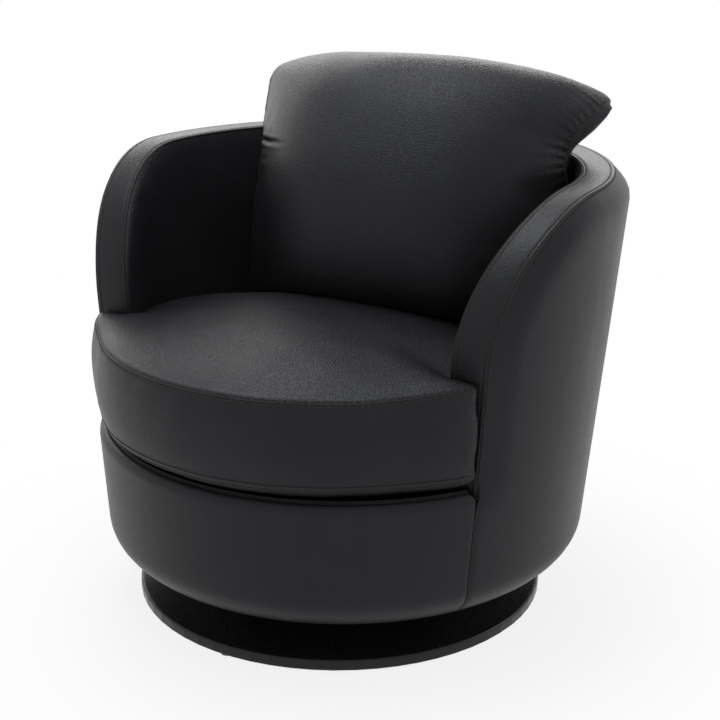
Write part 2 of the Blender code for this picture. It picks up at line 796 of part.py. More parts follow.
def kept_clear(point, cushion_tree):
    """The point moved clear of the inner pads and the rim, and of the seat cushion."""
    x, y, z = point
    centre = shell_centre_y(z)
    limit = shell_radius(min(z, rim_z)) - pad_widest_inset - PILLOW_SIDE_GAP
    above_rim = z - rim_z - PILLOW_RIM_CLEARANCE
    if above_rim > 0.0:
        limit += PILLOW_RIM_SPREAD * above_rim
    reach = math.hypot(x, y - centre)
    if reach > limit:
        x *= limit / reach
        y = centre + (y - centre) * limit / reach
    below = cushion_tree.ray_cast(Vector((x, y, rim_z)), Vector((0.0, 0.0, -1.0)))[0]
    floor_z = cushion_upper_seam_z - back_drop(y) if below is None else below.z
    return x, y, max(z, floor_z + TOUCH_GAP)


def rested_on(upper, lower, gap):
    """Move the upper mesh straight down or up until it just clears the lower one."""
    up = Vector((0.0, 0.0, 1.0))
    raised = [vertex.co + PILLOW_HALF_HEIGHT * up for vertex in upper.vertices]
    lower_points = [vertex.co for vertex in lower.vertices]
    upper_tree = mesh_tree(raised, upper)
    lower_tree = mesh_tree(lower_points, lower)
    hits = [lower_tree.ray_cast(point, -up) for point in raised]
    hits += [upper_tree.ray_cast(point, up) for point in lower_points]
    lowered = min(hit[3] for hit in hits if hit[0] is not None) - gap
    while mesh_tree([point - lowered * up for point in raised], upper).overlap(lower_tree):
        lowered -= gap
    for vertex, point in zip(upper.vertices, raised):
        vertex.co = point - (lowered - TOUCH_GAP) * up


def pillow_mesh(cushion):
    tree = mesh_tree([vertex.co for vertex in cushion.vertices], cushion)
    loops = []
    for column in range(PILLOW_COLUMNS + 1):
        across = math.sin(0.5 * math.pi * (-1.0 + 2.0 * column / PILLOW_COLUMNS))
        ups = [-math.cos(math.pi * row / PILLOW_ROWS) for row in range(PILLOW_ROWS + 1)]
        front = [kept_clear(pillow_point(across, up, 1.0), tree) for up in ups]
        back = [kept_clear(pillow_point(across, up, -1.0), tree) for up in reversed(ups)]
        loops.append(front + back)
    mesh = in_triangles(loft("back_pillow", loops))
    rested_on(mesh, cushion, SOFT_GAP)
    return mesh


# Base and swivel

def disc_profile():
    rounded = []
    for index in range(BASE_EDGE_STEPS + 1):
        angle = 0.5 * math.pi * index / BASE_EDGE_STEPS
        radius = BASE_RADIUS - BASE_EDGE_ROUND * (1.0 - math.cos(angle))
        rounded.append((radius, disc_top_z - BASE_EDGE_ROUND * (1.0 - math.sin(angle))))
    lower = [
        (0.0, disc_bottom_z),
        (BASE_RADIUS - BASE_FOOT_CHAMFER, disc_bottom_z),
        (BASE_RADIUS, disc_bottom_z + BASE_FOOT_CHAMFER),
    ]
    return lower + rounded + [(0.0, disc_top_z)]


def glide_mesh(name, radius):
    pin_top = disc_bottom_z + GLIDE_PIN_LENGTH
    profile = [
        (0.0, 0.0),
        (radius - GLIDE_CHAMFER, 0.0),
        (radius, GLIDE_CHAMFER),
        (radius, GLIDE_HEIGHT),
        (GLIDE_PIN_RADIUS, GLIDE_HEIGHT),
        (GLIDE_PIN_RADIUS, pin_top),
        (0.0, pin_top),
    ]
    return turned(name, profile, SMALL_SEGMENTS)


def bolt_mesh(name, length):
    """Bolt with its head above z = 0 and its shank below."""
    rings = [
        (BOLT_HEAD_TOP_SHARE * BOLT_HEAD_RADIUS, BOLT_HEAD_HEIGHT),
        (BOLT_HEAD_RADIUS, BOLT_HEAD_CHAMFER_SHARE * BOLT_HEAD_HEIGHT),
        (BOLT_HEAD_RADIUS, 0.0),
        (BOLT_RADIUS, 0.0),
        (BOLT_RADIUS, -length),
    ]
    angles = step_angles(HEX_SIDES)
    loops = []
    for radius, z in rings:
        loops.append([(radius * math.cos(angle), radius * math.sin(angle), z) for angle in angles])
    return loft(name, loops)


def step_angles(count):
    return [2.0 * math.pi * (index + 0.5) / count for index in range(count)]


def disc_outline(radius, bottom_z, top_z):
    """Profile of a plain round plate, for turning."""
    return [(0.0, bottom_z), (radius, bottom_z), (radius, top_z), (0.0, top_z)]


def ring_outline(inner, outer, bottom_z, top_z):
    """Profile of a plain ring, for turning."""
    return [(inner, bottom_z), (outer, bottom_z), (outer, top_z), (inner, top_z)]


def build_base(materials):
    glide_circle = BASE_RADIUS - GLIDE_EDGE_DISTANCE
    glide_places = circle_places(GLIDE_COUNT, glide_circle)
    bolt_places = circle_places(PLATE_BOLT_COUNT, PLATE_BOLT_CIRCLE, BOLT_FIRST_ANGLE)
    pin_hole = GLIDE_PIN_RADIUS + BOLT_CLEARANCE
    bolt_hole = BOLT_RADIUS + BOLT_CLEARANCE
    king_hole = KING_BOLT_RADIUS + BOLT_CLEARANCE
    below = -BASE_THICKNESS

    disc_mesh = turned("base_disc", disc_profile(), DISC_SEGMENTS)
    disc = add_object("base_disc", disc_mesh, materials["base"])
    pin_end = disc_bottom_z + GLIDE_PIN_LENGTH + TOUCH_GAP
    holes = [(x, y, pin_hole, below, pin_end) for x, y in glide_places + [(0.0, 0.0)]]
    bolt_end = disc_top_z - PLATE_BOLT_GRIP - TOUCH_GAP
    holes += [(x, y, bolt_hole, bolt_end, disc_top_z + BASE_THICKNESS) for x, y in bolt_places]
    cut_holes(disc, "base_disc_holes", holes)

    glide = glide_mesh("base_glide", GLIDE_RADIUS)
    for index, (x, y) in enumerate(glide_places):
        add_object(f"base_glide_{index + 1}", glide, materials["nylon"], location=(x, y, 0.0))
    add_object("centre_glide", glide_mesh("centre_glide", CENTRE_GLIDE_RADIUS), materials["nylon"])

    profile = disc_outline(BLOCK_RADIUS, block_bottom_z, block_top_z)
    block_mesh = turned("plinth_block", profile, PLATE_SEGMENTS)
    block = add_object("plinth_block", block_mesh, materials["block"])
    above = block_top_z + BLOCK_HEIGHT
    holes = [(x, y, bolt_hole, below, above) for x, y in bolt_places]
    pocket = KING_HEAD_RADIUS + KING_POCKET_CLEARANCE
    pocket_bottom = lower_plate_bottom_z - KING_HEAD_HEIGHT - KING_POCKET_CLEARANCE
    holes.append((0.0, 0.0, pocket, pocket_bottom, above))
    cut_holes(block, "plinth_block_holes", holes)

    profile = disc_outline(LOWER_PLATE_RADIUS, lower_plate_bottom_z, lower_plate_top_z)
    plate_mesh = turned("lower_swivel_plate", profile, PLATE_SEGMENTS)
    plate = add_object("lower_swivel_plate", plate_mesh, materials["steel"])
    holes = [(x, y, bolt_hole, below, above) for x, y in bolt_places]
    holes.append((0.0, 0.0, king_hole, below, above))
    cut_holes(plate, "lower_plate_holes", holes)

    head_seat = lower_plate_top_z + TOUCH_GAP
    length = head_seat - (disc_top_z - PLATE_BOLT_GRIP)
    bolt = bolt_mesh("plate_bolt", length)
    for index, (x, y) in enumerate(bolt_places):
        add_object(f"plate_bolt_{index + 1}", bolt, materials["steel"], location=(x, y, head_seat))

    washer_bottom = upper_plate_top_z + TOUCH_GAP
    washer_top = washer_bottom + KING_WASHER_THICKNESS
    profile = ring_outline(king_hole, KING_WASHER_RADIUS, washer_bottom, washer_top)
    add_object("king_washer", turned("king_washer", profile, SMALL_SEGMENTS), materials["steel"])
    nut_bottom = washer_top + TOUCH_GAP
    nut_top = nut_bottom + KING_NUT_HEIGHT
    nut = ring_outline(king_hole, KING_NUT_RADIUS, nut_bottom, nut_top)
    add_object("king_nut", turned("king_nut", nut, HEX_SIDES), materials["steel"])
    head_top = lower_plate_bottom_z - TOUCH_GAP
    shank_end = nut_top + KING_BOLT_END
    king = [
        (0.0, head_top - KING_HEAD_HEIGHT),
        (KING_HEAD_RADIUS, head_top - KING_HEAD_HEIGHT),
        (KING_HEAD_RADIUS, head_top),
        (KING_BOLT_RADIUS, head_top),
        (KING_BOLT_RADIUS, shank_end),
        (0.0, shank_end),
    ]
    add_object("king_bolt", turned("king_bolt", king, HEX_SIDES), materials["steel"])


def build_bearing(materials):
    axis = add_empty("bearing_axis", (0.0, 0.0, ball_centre_z))
    inner = BALL_TRACK_RADIUS - 0.5 * CAGE_WIDTH
    outer = BALL_TRACK_RADIUS + 0.5 * CAGE_WIDTH
    half = 0.5 * CAGE_THICKNESS
    cage_mesh = turned("ball_cage", ring_outline(inner, outer, -half, half), PLATE_SEGMENTS)
    cage = add_object("ball_cage", cage_mesh, materials["nylon"], axis)
    places = circle_places(BALL_COUNT, BALL_TRACK_RADIUS)
    hole = BALL_RADIUS + BALL_CLEARANCE
    cut_holes(cage, "ball_cage_holes", [(x, y, hole, -CAGE_WIDTH, CAGE_WIDTH) for x, y in places])
    profile = []
    for index in range(BALL_STEPS + 1):
        angle = math.pi * (index / BALL_STEPS - 0.5)
        radius = 0.0 if index in (0, BALL_STEPS) else BALL_RADIUS * math.cos(angle)
        profile.append((radius, BALL_RADIUS * math.sin(angle)))
    ball = turned("bearing_ball", profile, BALL_SEGMENTS)
    for index, (x, y) in enumerate(places):
        add_object(f"bearing_ball_{index + 1}", ball, materials["steel"], axis, (x, y, 0.0))


def build_frame(materials, axis):
    bolt_hole = BOLT_RADIUS + BOLT_CLEARANCE
    king_hole = KING_BOLT_RADIUS + BOLT_CLEARANCE
    bolt_places = circle_places(SEAT_BOLT_COUNT, SEAT_BOLT_CIRCLE, BOLT_FIRST_ANGLE)
    below = 0.0
    above = board_top_z + BOARD_THICKNESS

    profile = disc_outline(UPPER_PLATE_RADIUS, upper_plate_bottom_z, upper_plate_top_z)
    plate_mesh = turned("upper_swivel_plate", profile, PLATE_SEGMENTS)
    plate = add_object("upper_swivel_plate", plate_mesh, materials["steel"], axis)
    holes = [(x, y, bolt_hole, below, above) for x, y in bolt_places]
    cut_holes(plate, "upper_plate_holes", holes + [(0.0, 0.0, king_hole, below, above)])

    seat = upper_plate_bottom_z - TOUCH_GAP
    bolt = bolt_mesh("seat_bolt", SEAT_BOLT_LENGTH)
    for index, (x, y) in enumerate(bolt_places):
        made = add_object(f"seat_bolt_{index + 1}", bolt, materials["steel"], axis, (x, y, seat))
        made.rotation_euler = (math.pi, 0.0, 0.0)

    board_inset = FOOT_ROUND_DEPTH + TOUCH_GAP
    outline = shell_outline(board_inset, body_bottom_z)
    board_mesh = slab("bottom_board", outline, board_bottom_z, board_top_z)
    board = add_object("bottom_board", board_mesh, materials["plywood"], axis)
    bolt_top = seat + SEAT_BOLT_LENGTH + TOUCH_GAP
    holes = [(x, y, bolt_hole, below, bolt_top) for x, y in bolt_places]
    nut_hole = max(KING_NUT_RADIUS, KING_WASHER_RADIUS) + BOARD_HOLE_CLEARANCE
    cut_holes(board, "bottom_board_holes", holes + [(0.0, 0.0, nut_hole, below, above)])

    hole_radius = UPPER_PLATE_RADIUS + BOARD_HOLE_CLEARANCE
    hole = []
    for x, y in outline:
        reach = math.hypot(x, y)
        hole.append((hole_radius * x / reach, hole_radius * y / reach))
    dust = ring_slab("dust_cover", outline, hole, body_bottom_z, dust_cover_top_z)
    add_object("dust_cover", dust, materials["cloth"], axis)

    half_width = 0.5 * SEAT_BOX_WIDTH
    back_y = SEAT_BOX_FRONT_Y + SEAT_BOX_DEPTH
    front_back = SEAT_BOX_FRONT_Y + PANEL_THICKNESS
    back_front = back_y - PANEL_THICKNESS
    side_front = front_back + TOUCH_GAP
    side_back = back_front - TOUCH_GAP
    panels = {
        "seat_box_front": ((-half_width, SEAT_BOX_FRONT_Y), (half_width, front_back)),
        "seat_box_back": ((-half_width, back_front), (half_width, back_y)),
        "seat_box_left": ((-half_width, side_front), (-half_width + PANEL_THICKNESS, side_back)),
        "seat_box_right": ((half_width - PANEL_THICKNESS, side_front), (half_width, side_back)),
    }
    for name, (low, high) in panels.items():
        panel = box(name, (*low, box_bottom_z), (*high, box_top_z))
        add_object(name, panel, materials["plywood"], axis)

    middle_y = SEAT_BOX_FRONT_Y + 0.5 * SEAT_BOX_DEPTH
    half_strap = 0.5 * STRAP_WIDTH
    for index in range(STRAPS_EACH_WAY):
        offset = STRAP_SPACING * (index - 0.5 * (STRAPS_EACH_WAY - 1))
        low = (offset - half_strap, SEAT_BOX_FRONT_Y, long_strap_z)
        high = (offset + half_strap, back_y, long_strap_z + STRAP_THICKNESS)
        name = f"webbing_strap_{index + 1}"
        add_object(name, box(name, low, high), materials["webbing"], axis)
        low = (-half_width, middle_y + offset - half_strap, cross_strap_z)
        high = (half_width, middle_y + offset + half_strap, cross_strap_z + STRAP_THICKNESS)
        name = f"webbing_strap_{index + 1 + STRAPS_EACH_WAY}"
        add_object(name, box(name, low, high), materials["webbing"], axis)

    front_inset = FRONT_ROLL_RADIUS + FRONT_ROLL_TOP + TOUCH_GAP
    deck_outline = shell_outline(pad_back_inset, deck_bottom_z, front_inset)
    deck = slab("deck_cover", deck_outline, deck_bottom_z, deck_top_z)
    add_object("deck_cover", deck, materials["cloth"], axis)


def build_shell(materials, axis):
    layers = (
        ("outer_cover", cover_section, "leather"),
        ("shell_core", core_section, "plywood"),
        ("inner_pad", pad_section, "leather"),
    )
    for layer, section, finish in layers:
        for side_name, side in (("left", -1.0), ("right", 1.0)):
            name = f"{layer}_{side_name}"
            mesh = wall_piece(name, section, wall_stations(wall_edge), side)
            add_object(name, mesh, materials[finish], axis)
        name = f"{layer}_back"
        add_object(name, wall_piece(name, section, back_stations(wall_edge)), materials[finish], axis)
    add_object("rim_band_left", side_band("rim_band_left", -1.0), materials["leather"], axis)
    add_object("rim_band_right", side_band("rim_band_right", 1.0), materials["leather"], axis)
    add_object("rim_band_back", back_band("rim_band_back"), materials["leather"], axis)
    front = front_piece("front_cover", front_cover_section())
    add_object("front_cover", front, materials["leather"], axis)
    board = front_piece("front_board", front_board_section())
    add_object("front_board", board, materials["plywood"], axis)


def build_cushions(materials, axis):
    seat = add_empty("seat_cushion_lift", (0.0, 0.0, 0.0))
    seat.parent = axis
    cushion = cushion_mesh()
    add_object("seat_cushion", cushion, materials["leather"], seat)
    add_object("seat_cushion_zip", cushion_zip_mesh(), materials["zip"], seat)
    back = add_empty("back_pillow_lift", (0.0, 0.0, 0.0))
    back.parent = seat
    add_object("back_pillow", pillow_mesh(cushion), materials["leather"], back)


def build_chair():
    clear_scene()
    materials = {
        "base": make_material("satin_black_base", (0.012, 0.012, 0.013), 0.35),
        "nylon": make_material("black_nylon", (0.02, 0.02, 0.02), 0.5),
        "block": make_material("black_stained_board", (0.015, 0.014, 0.013), 0.7),
        "steel": make_material("zinc_plated_steel", (0.45, 0.46, 0.47), 0.35, 1.0),
        "plywood": make_material("birch_plywood", (0.55, 0.40, 0.24), 0.6),
        "webbing": make_material("elastic_webbing", (0.10, 0.09, 0.08), 0.85),
        "cloth": make_material("black_lining_cloth", (0.02, 0.02, 0.02), 0.9),
        "leather": make_material("black_leather", (0.022, 0.022, 0.024), 0.42),
        "zip": make_material("black_zip", (0.015, 0.015, 0.016), 0.5),
    }
    build_base(materials)
    build_bearing(materials)
    axis = add_empty("swivel_axis")
    build_frame(materials, axis)
    build_shell(materials, axis)
    build_cushions(materials, axis)


build_chair()
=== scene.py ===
# %% [markdown]
# # A swivel tub chair in black leather
#
# The chair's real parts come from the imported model, which this file calls the frame. The
# cells below dress that frame. They sew leather over the body, stuff the seat cushion and
# the back pillow, run the stitches, and light the whole chair on a white floor.
#
# All lengths are metres. The chair looks along -Y, the swivel axis is the Z axis, and the
# floor is z = 0.

# %% Load the frame
import json
import math

import bmesh
import bpy
import numpy as np
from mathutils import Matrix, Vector, noise
from mathutils.bvhtree import BVHTree
from mathutils.kdtree import KDTree


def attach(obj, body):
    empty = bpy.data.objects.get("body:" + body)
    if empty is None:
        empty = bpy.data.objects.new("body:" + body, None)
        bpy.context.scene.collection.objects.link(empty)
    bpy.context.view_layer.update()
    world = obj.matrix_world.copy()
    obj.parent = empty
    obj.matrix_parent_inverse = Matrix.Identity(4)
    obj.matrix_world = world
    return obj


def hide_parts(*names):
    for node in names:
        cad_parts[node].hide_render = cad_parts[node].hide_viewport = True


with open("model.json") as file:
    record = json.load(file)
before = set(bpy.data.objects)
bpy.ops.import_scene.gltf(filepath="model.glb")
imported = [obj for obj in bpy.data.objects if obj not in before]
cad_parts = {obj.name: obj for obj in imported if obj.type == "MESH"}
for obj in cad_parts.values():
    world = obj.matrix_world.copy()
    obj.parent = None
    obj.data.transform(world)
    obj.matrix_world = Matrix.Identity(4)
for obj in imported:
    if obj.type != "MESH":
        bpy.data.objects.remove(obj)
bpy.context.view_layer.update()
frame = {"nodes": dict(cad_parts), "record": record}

chair_scene = bpy.context.scene

# %% [markdown]
# ## Sizes of the body
#
# The body is a round tub that flares upwards and leans back a little. Seen from above it
# is a circle at every height, so one radius and one centre describe it. The wall is made
# of layers, and each layer lies a certain inset inside the outer leather.
#
# The arm is cut by a curve seen from the side: upright at the front, then a quarter
# circle, then level round the back.

# %% Sizes of the body
BODY_BOTTOM_Z = 0.071
RIM_Z = 0.6403
DECK_TOP_Z = 0.2685
FOOT_RADIUS = 0.3535
SHELL_FLARE = 0.085
FOOT_SETBACK = 0.0148
BACK_RAKE = 0.035
FOOT_ROUND_DEPTH = 0.060
FOOT_ROUND_HEIGHT = 0.054
ARM_FRONT_Y = -0.155
ARM_CORNER_RADIUS = 0.205
ARC_CENTRE_Y = ARM_FRONT_Y + ARM_CORNER_RADIUS
ARC_CENTRE_Z = RIM_Z - ARM_CORNER_RADIUS
ARC_LAST_TURN = 88.0
ARM_END_ANGLE = 97.0
SIDE_SEAM_ANGLE = 140.0
SEAM_HALF_ANGLE = 0.03
SIDE_SEAM_RADIUS = 0.37
COVER_THICKNESS = 0.026
BAND_THICKNESS = 0.006
BAND_WIDTH = 0.0455
PAD_BACK_INSET = 0.0366
WALL_THICKNESS = 0.065
FRONT_SEAM_INSET = 0.0105
RIM_SEAM_INSET = 0.0255


def shell_radius(z):
    return FOOT_RADIUS + SHELL_FLARE * (z - BODY_BOTTOM_Z)


def shell_centre_y(z):
    return FOOT_SETBACK + BACK_RAKE * (z - BODY_BOTTOM_Z)


def smooth_step(low, high, value):
    share = min(max((value - low) / (high - low), 0.0), 1.0)
    return share * share * (3.0 - 2.0 * share)


print("width at the rim:", round(2.0 * shell_radius(RIM_Z), 3))

# %% [markdown]
# ## Cuts through the wall
#
# Each leather piece of the wall is lofted through upright cuts. On the arm a cut is a plane
# of one y, because the arm's outline is drawn from the side. Behind the arm a cut is a turn
# angle round the tub. Cuts lie closer together beside a seam, so that the leather can round
# over into it.
#
# Below the seat the front panel is a little narrower than the arms are apart, so there the
# first cuts of an arm reach forward to its seam.

# %% Cuts through the wall
SEAM_STEPS = (0.0, 0.0005, 0.0012, 0.0022, 0.0036, 0.0056, 0.0085, 0.0125, 0.018, 0.025)
SEAM_EDGE = 0.0026
FRONT_SEAM_FORWARD = 0.0086
FORWARD_FADE = 0.045
FORWARD_FROM_Z = 0.236
FORWARD_TO_Z = 0.267
ARM_CUTS = 31
ARM_CUTS_APART = 1.5
ROUND_CUTS_EVERY = 2.5
ROUND_CUTS_APART = 2.0


def arm_cuts(edge, seam_steps=()):
    """Cuts along one arm, from its front to where the arm's top is level."""
    reach = ARM_CORNER_RADIUS - edge
    turns = [math.degrees(math.acos(1.0 - step / reach)) for step in seam_steps]
    last = turns[-1] if turns else -ARC_LAST_TURN
    even = np.linspace(0.0, ARC_LAST_TURN, ARM_CUTS)
    turns += [turn for turn in even if turn > last + ARM_CUTS_APART]
    cuts = []
    for turn in turns:
        angle = math.radians(turn)
        y = ARC_CENTRE_Y - reach * math.cos(angle)
        top = ARC_CENTRE_Z + reach * math.sin(angle)
        cuts.append({"y": y, "top": top, "turn": angle, "level": turn / ARC_LAST_TURN})
    return cuts


def round_cuts(first, last, edge, seam_first=False, seam_last=False):
    """Cuts by turn angle, with extra ones beside a seam at either end."""
    count = max(int((last - first) / ROUND_CUTS_EVERY), 2) + 1
    angles = list(np.linspace(first, last, count))
    steps = [math.degrees(step / SIDE_SEAM_RADIUS) for step in SEAM_STEPS[1:7]]
    if seam_first:
        angles = [angle for angle in angles if angle > first + ROUND_CUTS_APART]
        angles = [first] + [first + step for step in steps] + angles
    if seam_last:
        angles = [angle for angle in angles if angle < last - ROUND_CUTS_APART]
        angles += [last - step for step in reversed(steps)] + [last]
    return [{"angle": angle, "top": RIM_Z - edge, "level": 1.0} for angle in angles]


def side_wall_cuts(edge, seam_steps=(), seam_last=False):
    """Cuts from the front of one arm to the seam behind it."""
    last = SIDE_SEAM_ANGLE - SEAM_HALF_ANGLE
    return arm_cuts(edge, seam_steps) + round_cuts(ARM_END_ANGLE, last, edge, False, seam_last)


def back_wall_cuts(edge, seams=False):
    """Cuts from one seam behind the arms to the other."""
    first = SIDE_SEAM_ANGLE + SEAM_HALF_ANGLE
    last = 360.0 - SIDE_SEAM_ANGLE - SEAM_HALF_ANGLE
    return round_cuts(first, last, edge, seams, seams)


def foot_share(inset, z):
    """How much nearer to the middle a place on the rolled foot lies than the upright wall."""
    rolled = z < BODY_BOTTOM_Z + FOOT_ROUND_HEIGHT - 0.0001
    return 1.0 - inset / shell_radius(z) if rolled else 1.0


def wall_point(cut, inset, z, side=1.0):
    radius = shell_radius(z) - inset
    centre = shell_centre_y(z)
    if "y" in cut:
        below = 1.0 - smooth_step(FORWARD_FROM_Z, FORWARD_TO_Z, z)
        y = cut["y"] - cut.get("forward", 0.0) * below
        y = centre + (y - centre) * foot_share(inset, z)
        return (side * math.sqrt(max(radius * radius - (y - centre) ** 2, 0.0)), y, z)
    angle = math.radians(cut["angle"])
    return (side * radius * math.sin(angle), centre - radius * math.cos(angle), z)


def outer_seam_inset(cut):
    """Inset of the seam between outer leather and rim band: less on the arm's front."""
    share = smooth_step(0.0, 1.0, cut["level"])
    return FRONT_SEAM_INSET + (RIM_SEAM_INSET - FRONT_SEAM_INSET) * share


def inner_seam_inset(cut):
    return outer_seam_inset(cut) + BAND_WIDTH


def edge_distance(cut, z):
    """How far a place on the wall lies inside the arm's outline, seen from the side."""
    if "angle" in cut:
        return RIM_Z - z
    if z <= ARC_CENTRE_Z:
        return cut["y"] - ARM_FRONT_Y
    return ARM_CORNER_RADIUS - math.hypot(ARC_CENTRE_Y - cut["y"], z - ARC_CENTRE_Z)


print("cuts along one arm:", len(arm_cuts(SEAM_EDGE, SEAM_STEPS)))

# %% [markdown]
# ## Meshes
#
# Leather pieces are closed shells, so each is lofted through loops of points and capped at
# both ends. Normals are recalculated, so that every face points outwards. Each layer of the
# wall is sewn from a left, a right and a back piece, which one helper makes in turn.

# %% Meshes
SHARP_ANGLE = math.radians(50.0)


def new_piece(name, vertices, faces):
    mesh = bpy.data.meshes.new(name)
    mesh.from_pydata([tuple(vertex) for vertex in vertices], [], faces)
    work = bmesh.new()
    work.from_mesh(mesh)
    bmesh.ops.recalc_face_normals(work, faces=work.faces)
    work.to_mesh(mesh)
    work.free()
    mesh.shade_smooth()
    mesh.set_sharp_from_angle(angle=SHARP_ANGLE)
    made = bpy.data.objects.new(name, mesh)
    chair_scene.collection.objects.link(made)
    return made


def loft(name, loops):
    """A closed mesh through loops of as many points each."""
    count = len(loops[0])
    vertices = [point for loop in loops for point in loop]
    faces = []
    for row in range(len(loops) - 1):
        for step in range(count):
            after = (step + 1) % count
            first = row * count
            second = first + count
            faces.append((first + step, first + after, second + after, second + step))
    faces.append(tuple(range(count)))
    last = (len(loops) - 1) * count
    faces.append(tuple(range(last, last + count)))
    return new_piece(name, vertices, faces)


def finish_piece(piece, material, body, slot, *nodes):
    """Dress a piece, let it ride on its body and stand for the frame's nodes."""
    piece.data.materials.clear()
    piece.data.materials.append(material)
    piece.data.polygons.foreach_set("material_index", [0] * len(piece.data.polygons))
    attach(piece, body)
    if nodes:
        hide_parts(*nodes)
    print(piece.name, len(piece.data.polygons), "faces")


def wall_layer(name, node_name, material, side_loops, back_loops):
    """One layer of the wall: its left, its right and its back piece."""
    parts = (("left", side_loops(-1.0)), ("right", side_loops(1.0)), ("back", back_loops))
    for part, loops in parts:
        piece = loft(f"{name}_{part}", loops)
        finish_piece(piece, material, "body", "leather", f"{node_name}_{part}")


def wall_loops(section, cuts, side=1.0):
    """Loops through cuts, each with its own section of (inset, z) points."""
    return [[wall_point(cut, inset, z, side) for inset, z in section(cut)] for cut in cuts]


print("mesh helpers ready")

# %% [markdown]
# ## Sums with sockets
#
# A material is a net of nodes. Writing the net as sums keeps it short: the class below wraps
# a socket, and adding or multiplying two of them adds the Math node that does it. Every other
# node comes from one method, which sets the node's own settings first and then its sockets.

# %% Sums with sockets
class Wire:
    """A socket that can be added to, taken from or multiplied by another or a number."""

    def __init__(self, net, socket):
        self.net = net
        self.socket = socket

    def maths(self, operation, first, second):
        made = self.net.node("ShaderNodeMath", {"operation": operation}, {0: first, 1: second})
        return made["Value"]

    def __add__(self, other):
        return self.maths("ADD", self, other)

    def __radd__(self, other):
        return self.maths("ADD", other, self)

    def __sub__(self, other):
        return self.maths("SUBTRACT", self, other)

    def __rsub__(self, other):
        return self.maths("SUBTRACT", other, self)

    def __mul__(self, other):
        return self.maths("MULTIPLY", self, other)

    def __rmul__(self, other):
        return self.maths("MULTIPLY", other, self)


class Outputs:
    """The outputs of a new node, by name or number."""

    def __init__(self, net, node):
        self.net = net
        self.made = node

    def __getitem__(self, key):
        return Wire(self.net, self.made.outputs[key])


class Net:
    """A node tree of a material, the world or a geometry modifier."""

    def __init__(self, tree):
        self.tree = tree

    def node(self, kind, settings=None, sockets=None):
        made = self.tree.nodes.new(kind)
        for key, value in (settings or {}).items():
            setattr(made, key, value)
        for key, value in (sockets or {}).items():
            if isinstance(value, Wire):
                self.tree.links.new(value.socket, made.inputs[key])
            else:
                made.inputs[key].default_value = value
        return Outputs(self, made)


def new_material(name, shown_color):
    material = bpy.data.materials.new(name)
    material.use_nodes = True
    material.diffuse_color = (*shown_color, 1.0)
    material.node_tree.nodes.clear()
    return material, Net(material.node_tree)


def end_material(net, shader):
    net.node("ShaderNodeOutputMaterial", None, {"Surface": shader})


def end_principled(net, sockets):
    end_material(net, net.node("ShaderNodeBsdfPrincipled", None, sockets)["BSDF"])


def blended(net, share, dark, light):
    """The colour between two, by a share from 0 to 1."""
    return net.node("ShaderNodeMix", {"data_type": "RGBA"}, {0: share, 6: dark, 7: light})[2]


def bumped(net, strength, distance, height):
    sockets = {"Strength": strength, "Distance": distance, "Height": height}
    return net.node("ShaderNodeBump", None, sockets)["Normal"]


def soft_range(net, value, low, high):
    """0 below one value and 1 above another, with a soft rise between."""
    sockets = {"Value": value, "From Min": low, "From Max": high}
    settings = {"interpolation_type": "SMOOTHSTEP"}
    return net.node("ShaderNodeMapRange", settings, sockets)["Result"]


def cloudy(net, place, scale, detail, roughness=0.5):
    """Noise over a place, from 0 to 1."""
    sockets = {"Vector": place, "Scale": scale, "Detail": detail, "Roughness": roughness}
    return net.node("ShaderNodeTexNoise", None, sockets)


print("node helpers ready")

# %% [markdown]
# ## Black leather
#
# The hide is semi-matte and nearly black, with a fine pebble grain: rounded cells two to
# three millimetres across, with narrow valleys between them. A Voronoi texture's distance to
# the cell edge draws exactly that. Its coordinates are warped a little by noise, because
# grain never runs in straight lines, and a finer Voronoi adds pores.
#
# The grain only feeds a Bump node. Slow noise varies the roughness and the black, as
# handling and dye do on a real hide. Where leather is pulled tight over a panel, its grain
# is flatter; on the loose inner padding it puckers near the rim, and its black is painted
# lighter, as painted light on the shaded inside of the tub.

# %% Black leather
LEATHER_DARK = (0.0072, 0.0074, 0.0085)
LEATHER_WORN = (0.0105, 0.0108, 0.0122)
LEATHER_SHEEN_TINT = (0.92, 0.95, 1.0, 1.0)
LEATHER_SPECULAR = 0.20
LEATHER_ROUGHNESS = 0.40
GRAIN_SIZE = 0.0031
GRAIN_DEPTH = 0.00042
GRAIN_VALLEY = 0.32
GRAIN_STRENGTH = 0.9
WARP_SCALE = 160.0
WARP_LENGTH = 0.0011
PORES_ACROSS_A_CELL = 2.4
PORE_SHARE = 0.18
PUCKER_SCALE = (95.0, 95.0, 9.0)
PUCKER_FROM_Z = 0.45
PUCKER_TO_Z = 0.60


def grain_height(net, place):
    """Height of the pebbles with their pores, and the height of the pebbles alone."""
    drift = cloudy(net, place, WARP_SCALE, 2.0)["Color"]
    scaled = {0: drift, "Scale": WARP_LENGTH}
    warp = net.node("ShaderNodeVectorMath", {"operation": "SCALE"}, scaled)["Vector"]
    warped = net.node("ShaderNodeVectorMath", {"operation": "ADD"}, {0: place, 1: warp})["Vector"]
    cell_sockets = {"Vector": warped, "Scale": 1.0 / GRAIN_SIZE}
    cells = net.node("ShaderNodeTexVoronoi", {"feature": "DISTANCE_TO_EDGE"}, cell_sockets)
    pebble = soft_range(net, cells["Distance"], 0.0, GRAIN_VALLEY)
    pore_sockets = {"Vector": warped, "Scale": PORES_ACROSS_A_CELL / GRAIN_SIZE}
    pores = net.node("ShaderNodeTexVoronoi", {"feature": "F1"}, pore_sockets)["Distance"]
    return pebble + PORE_SHARE * pores, pebble


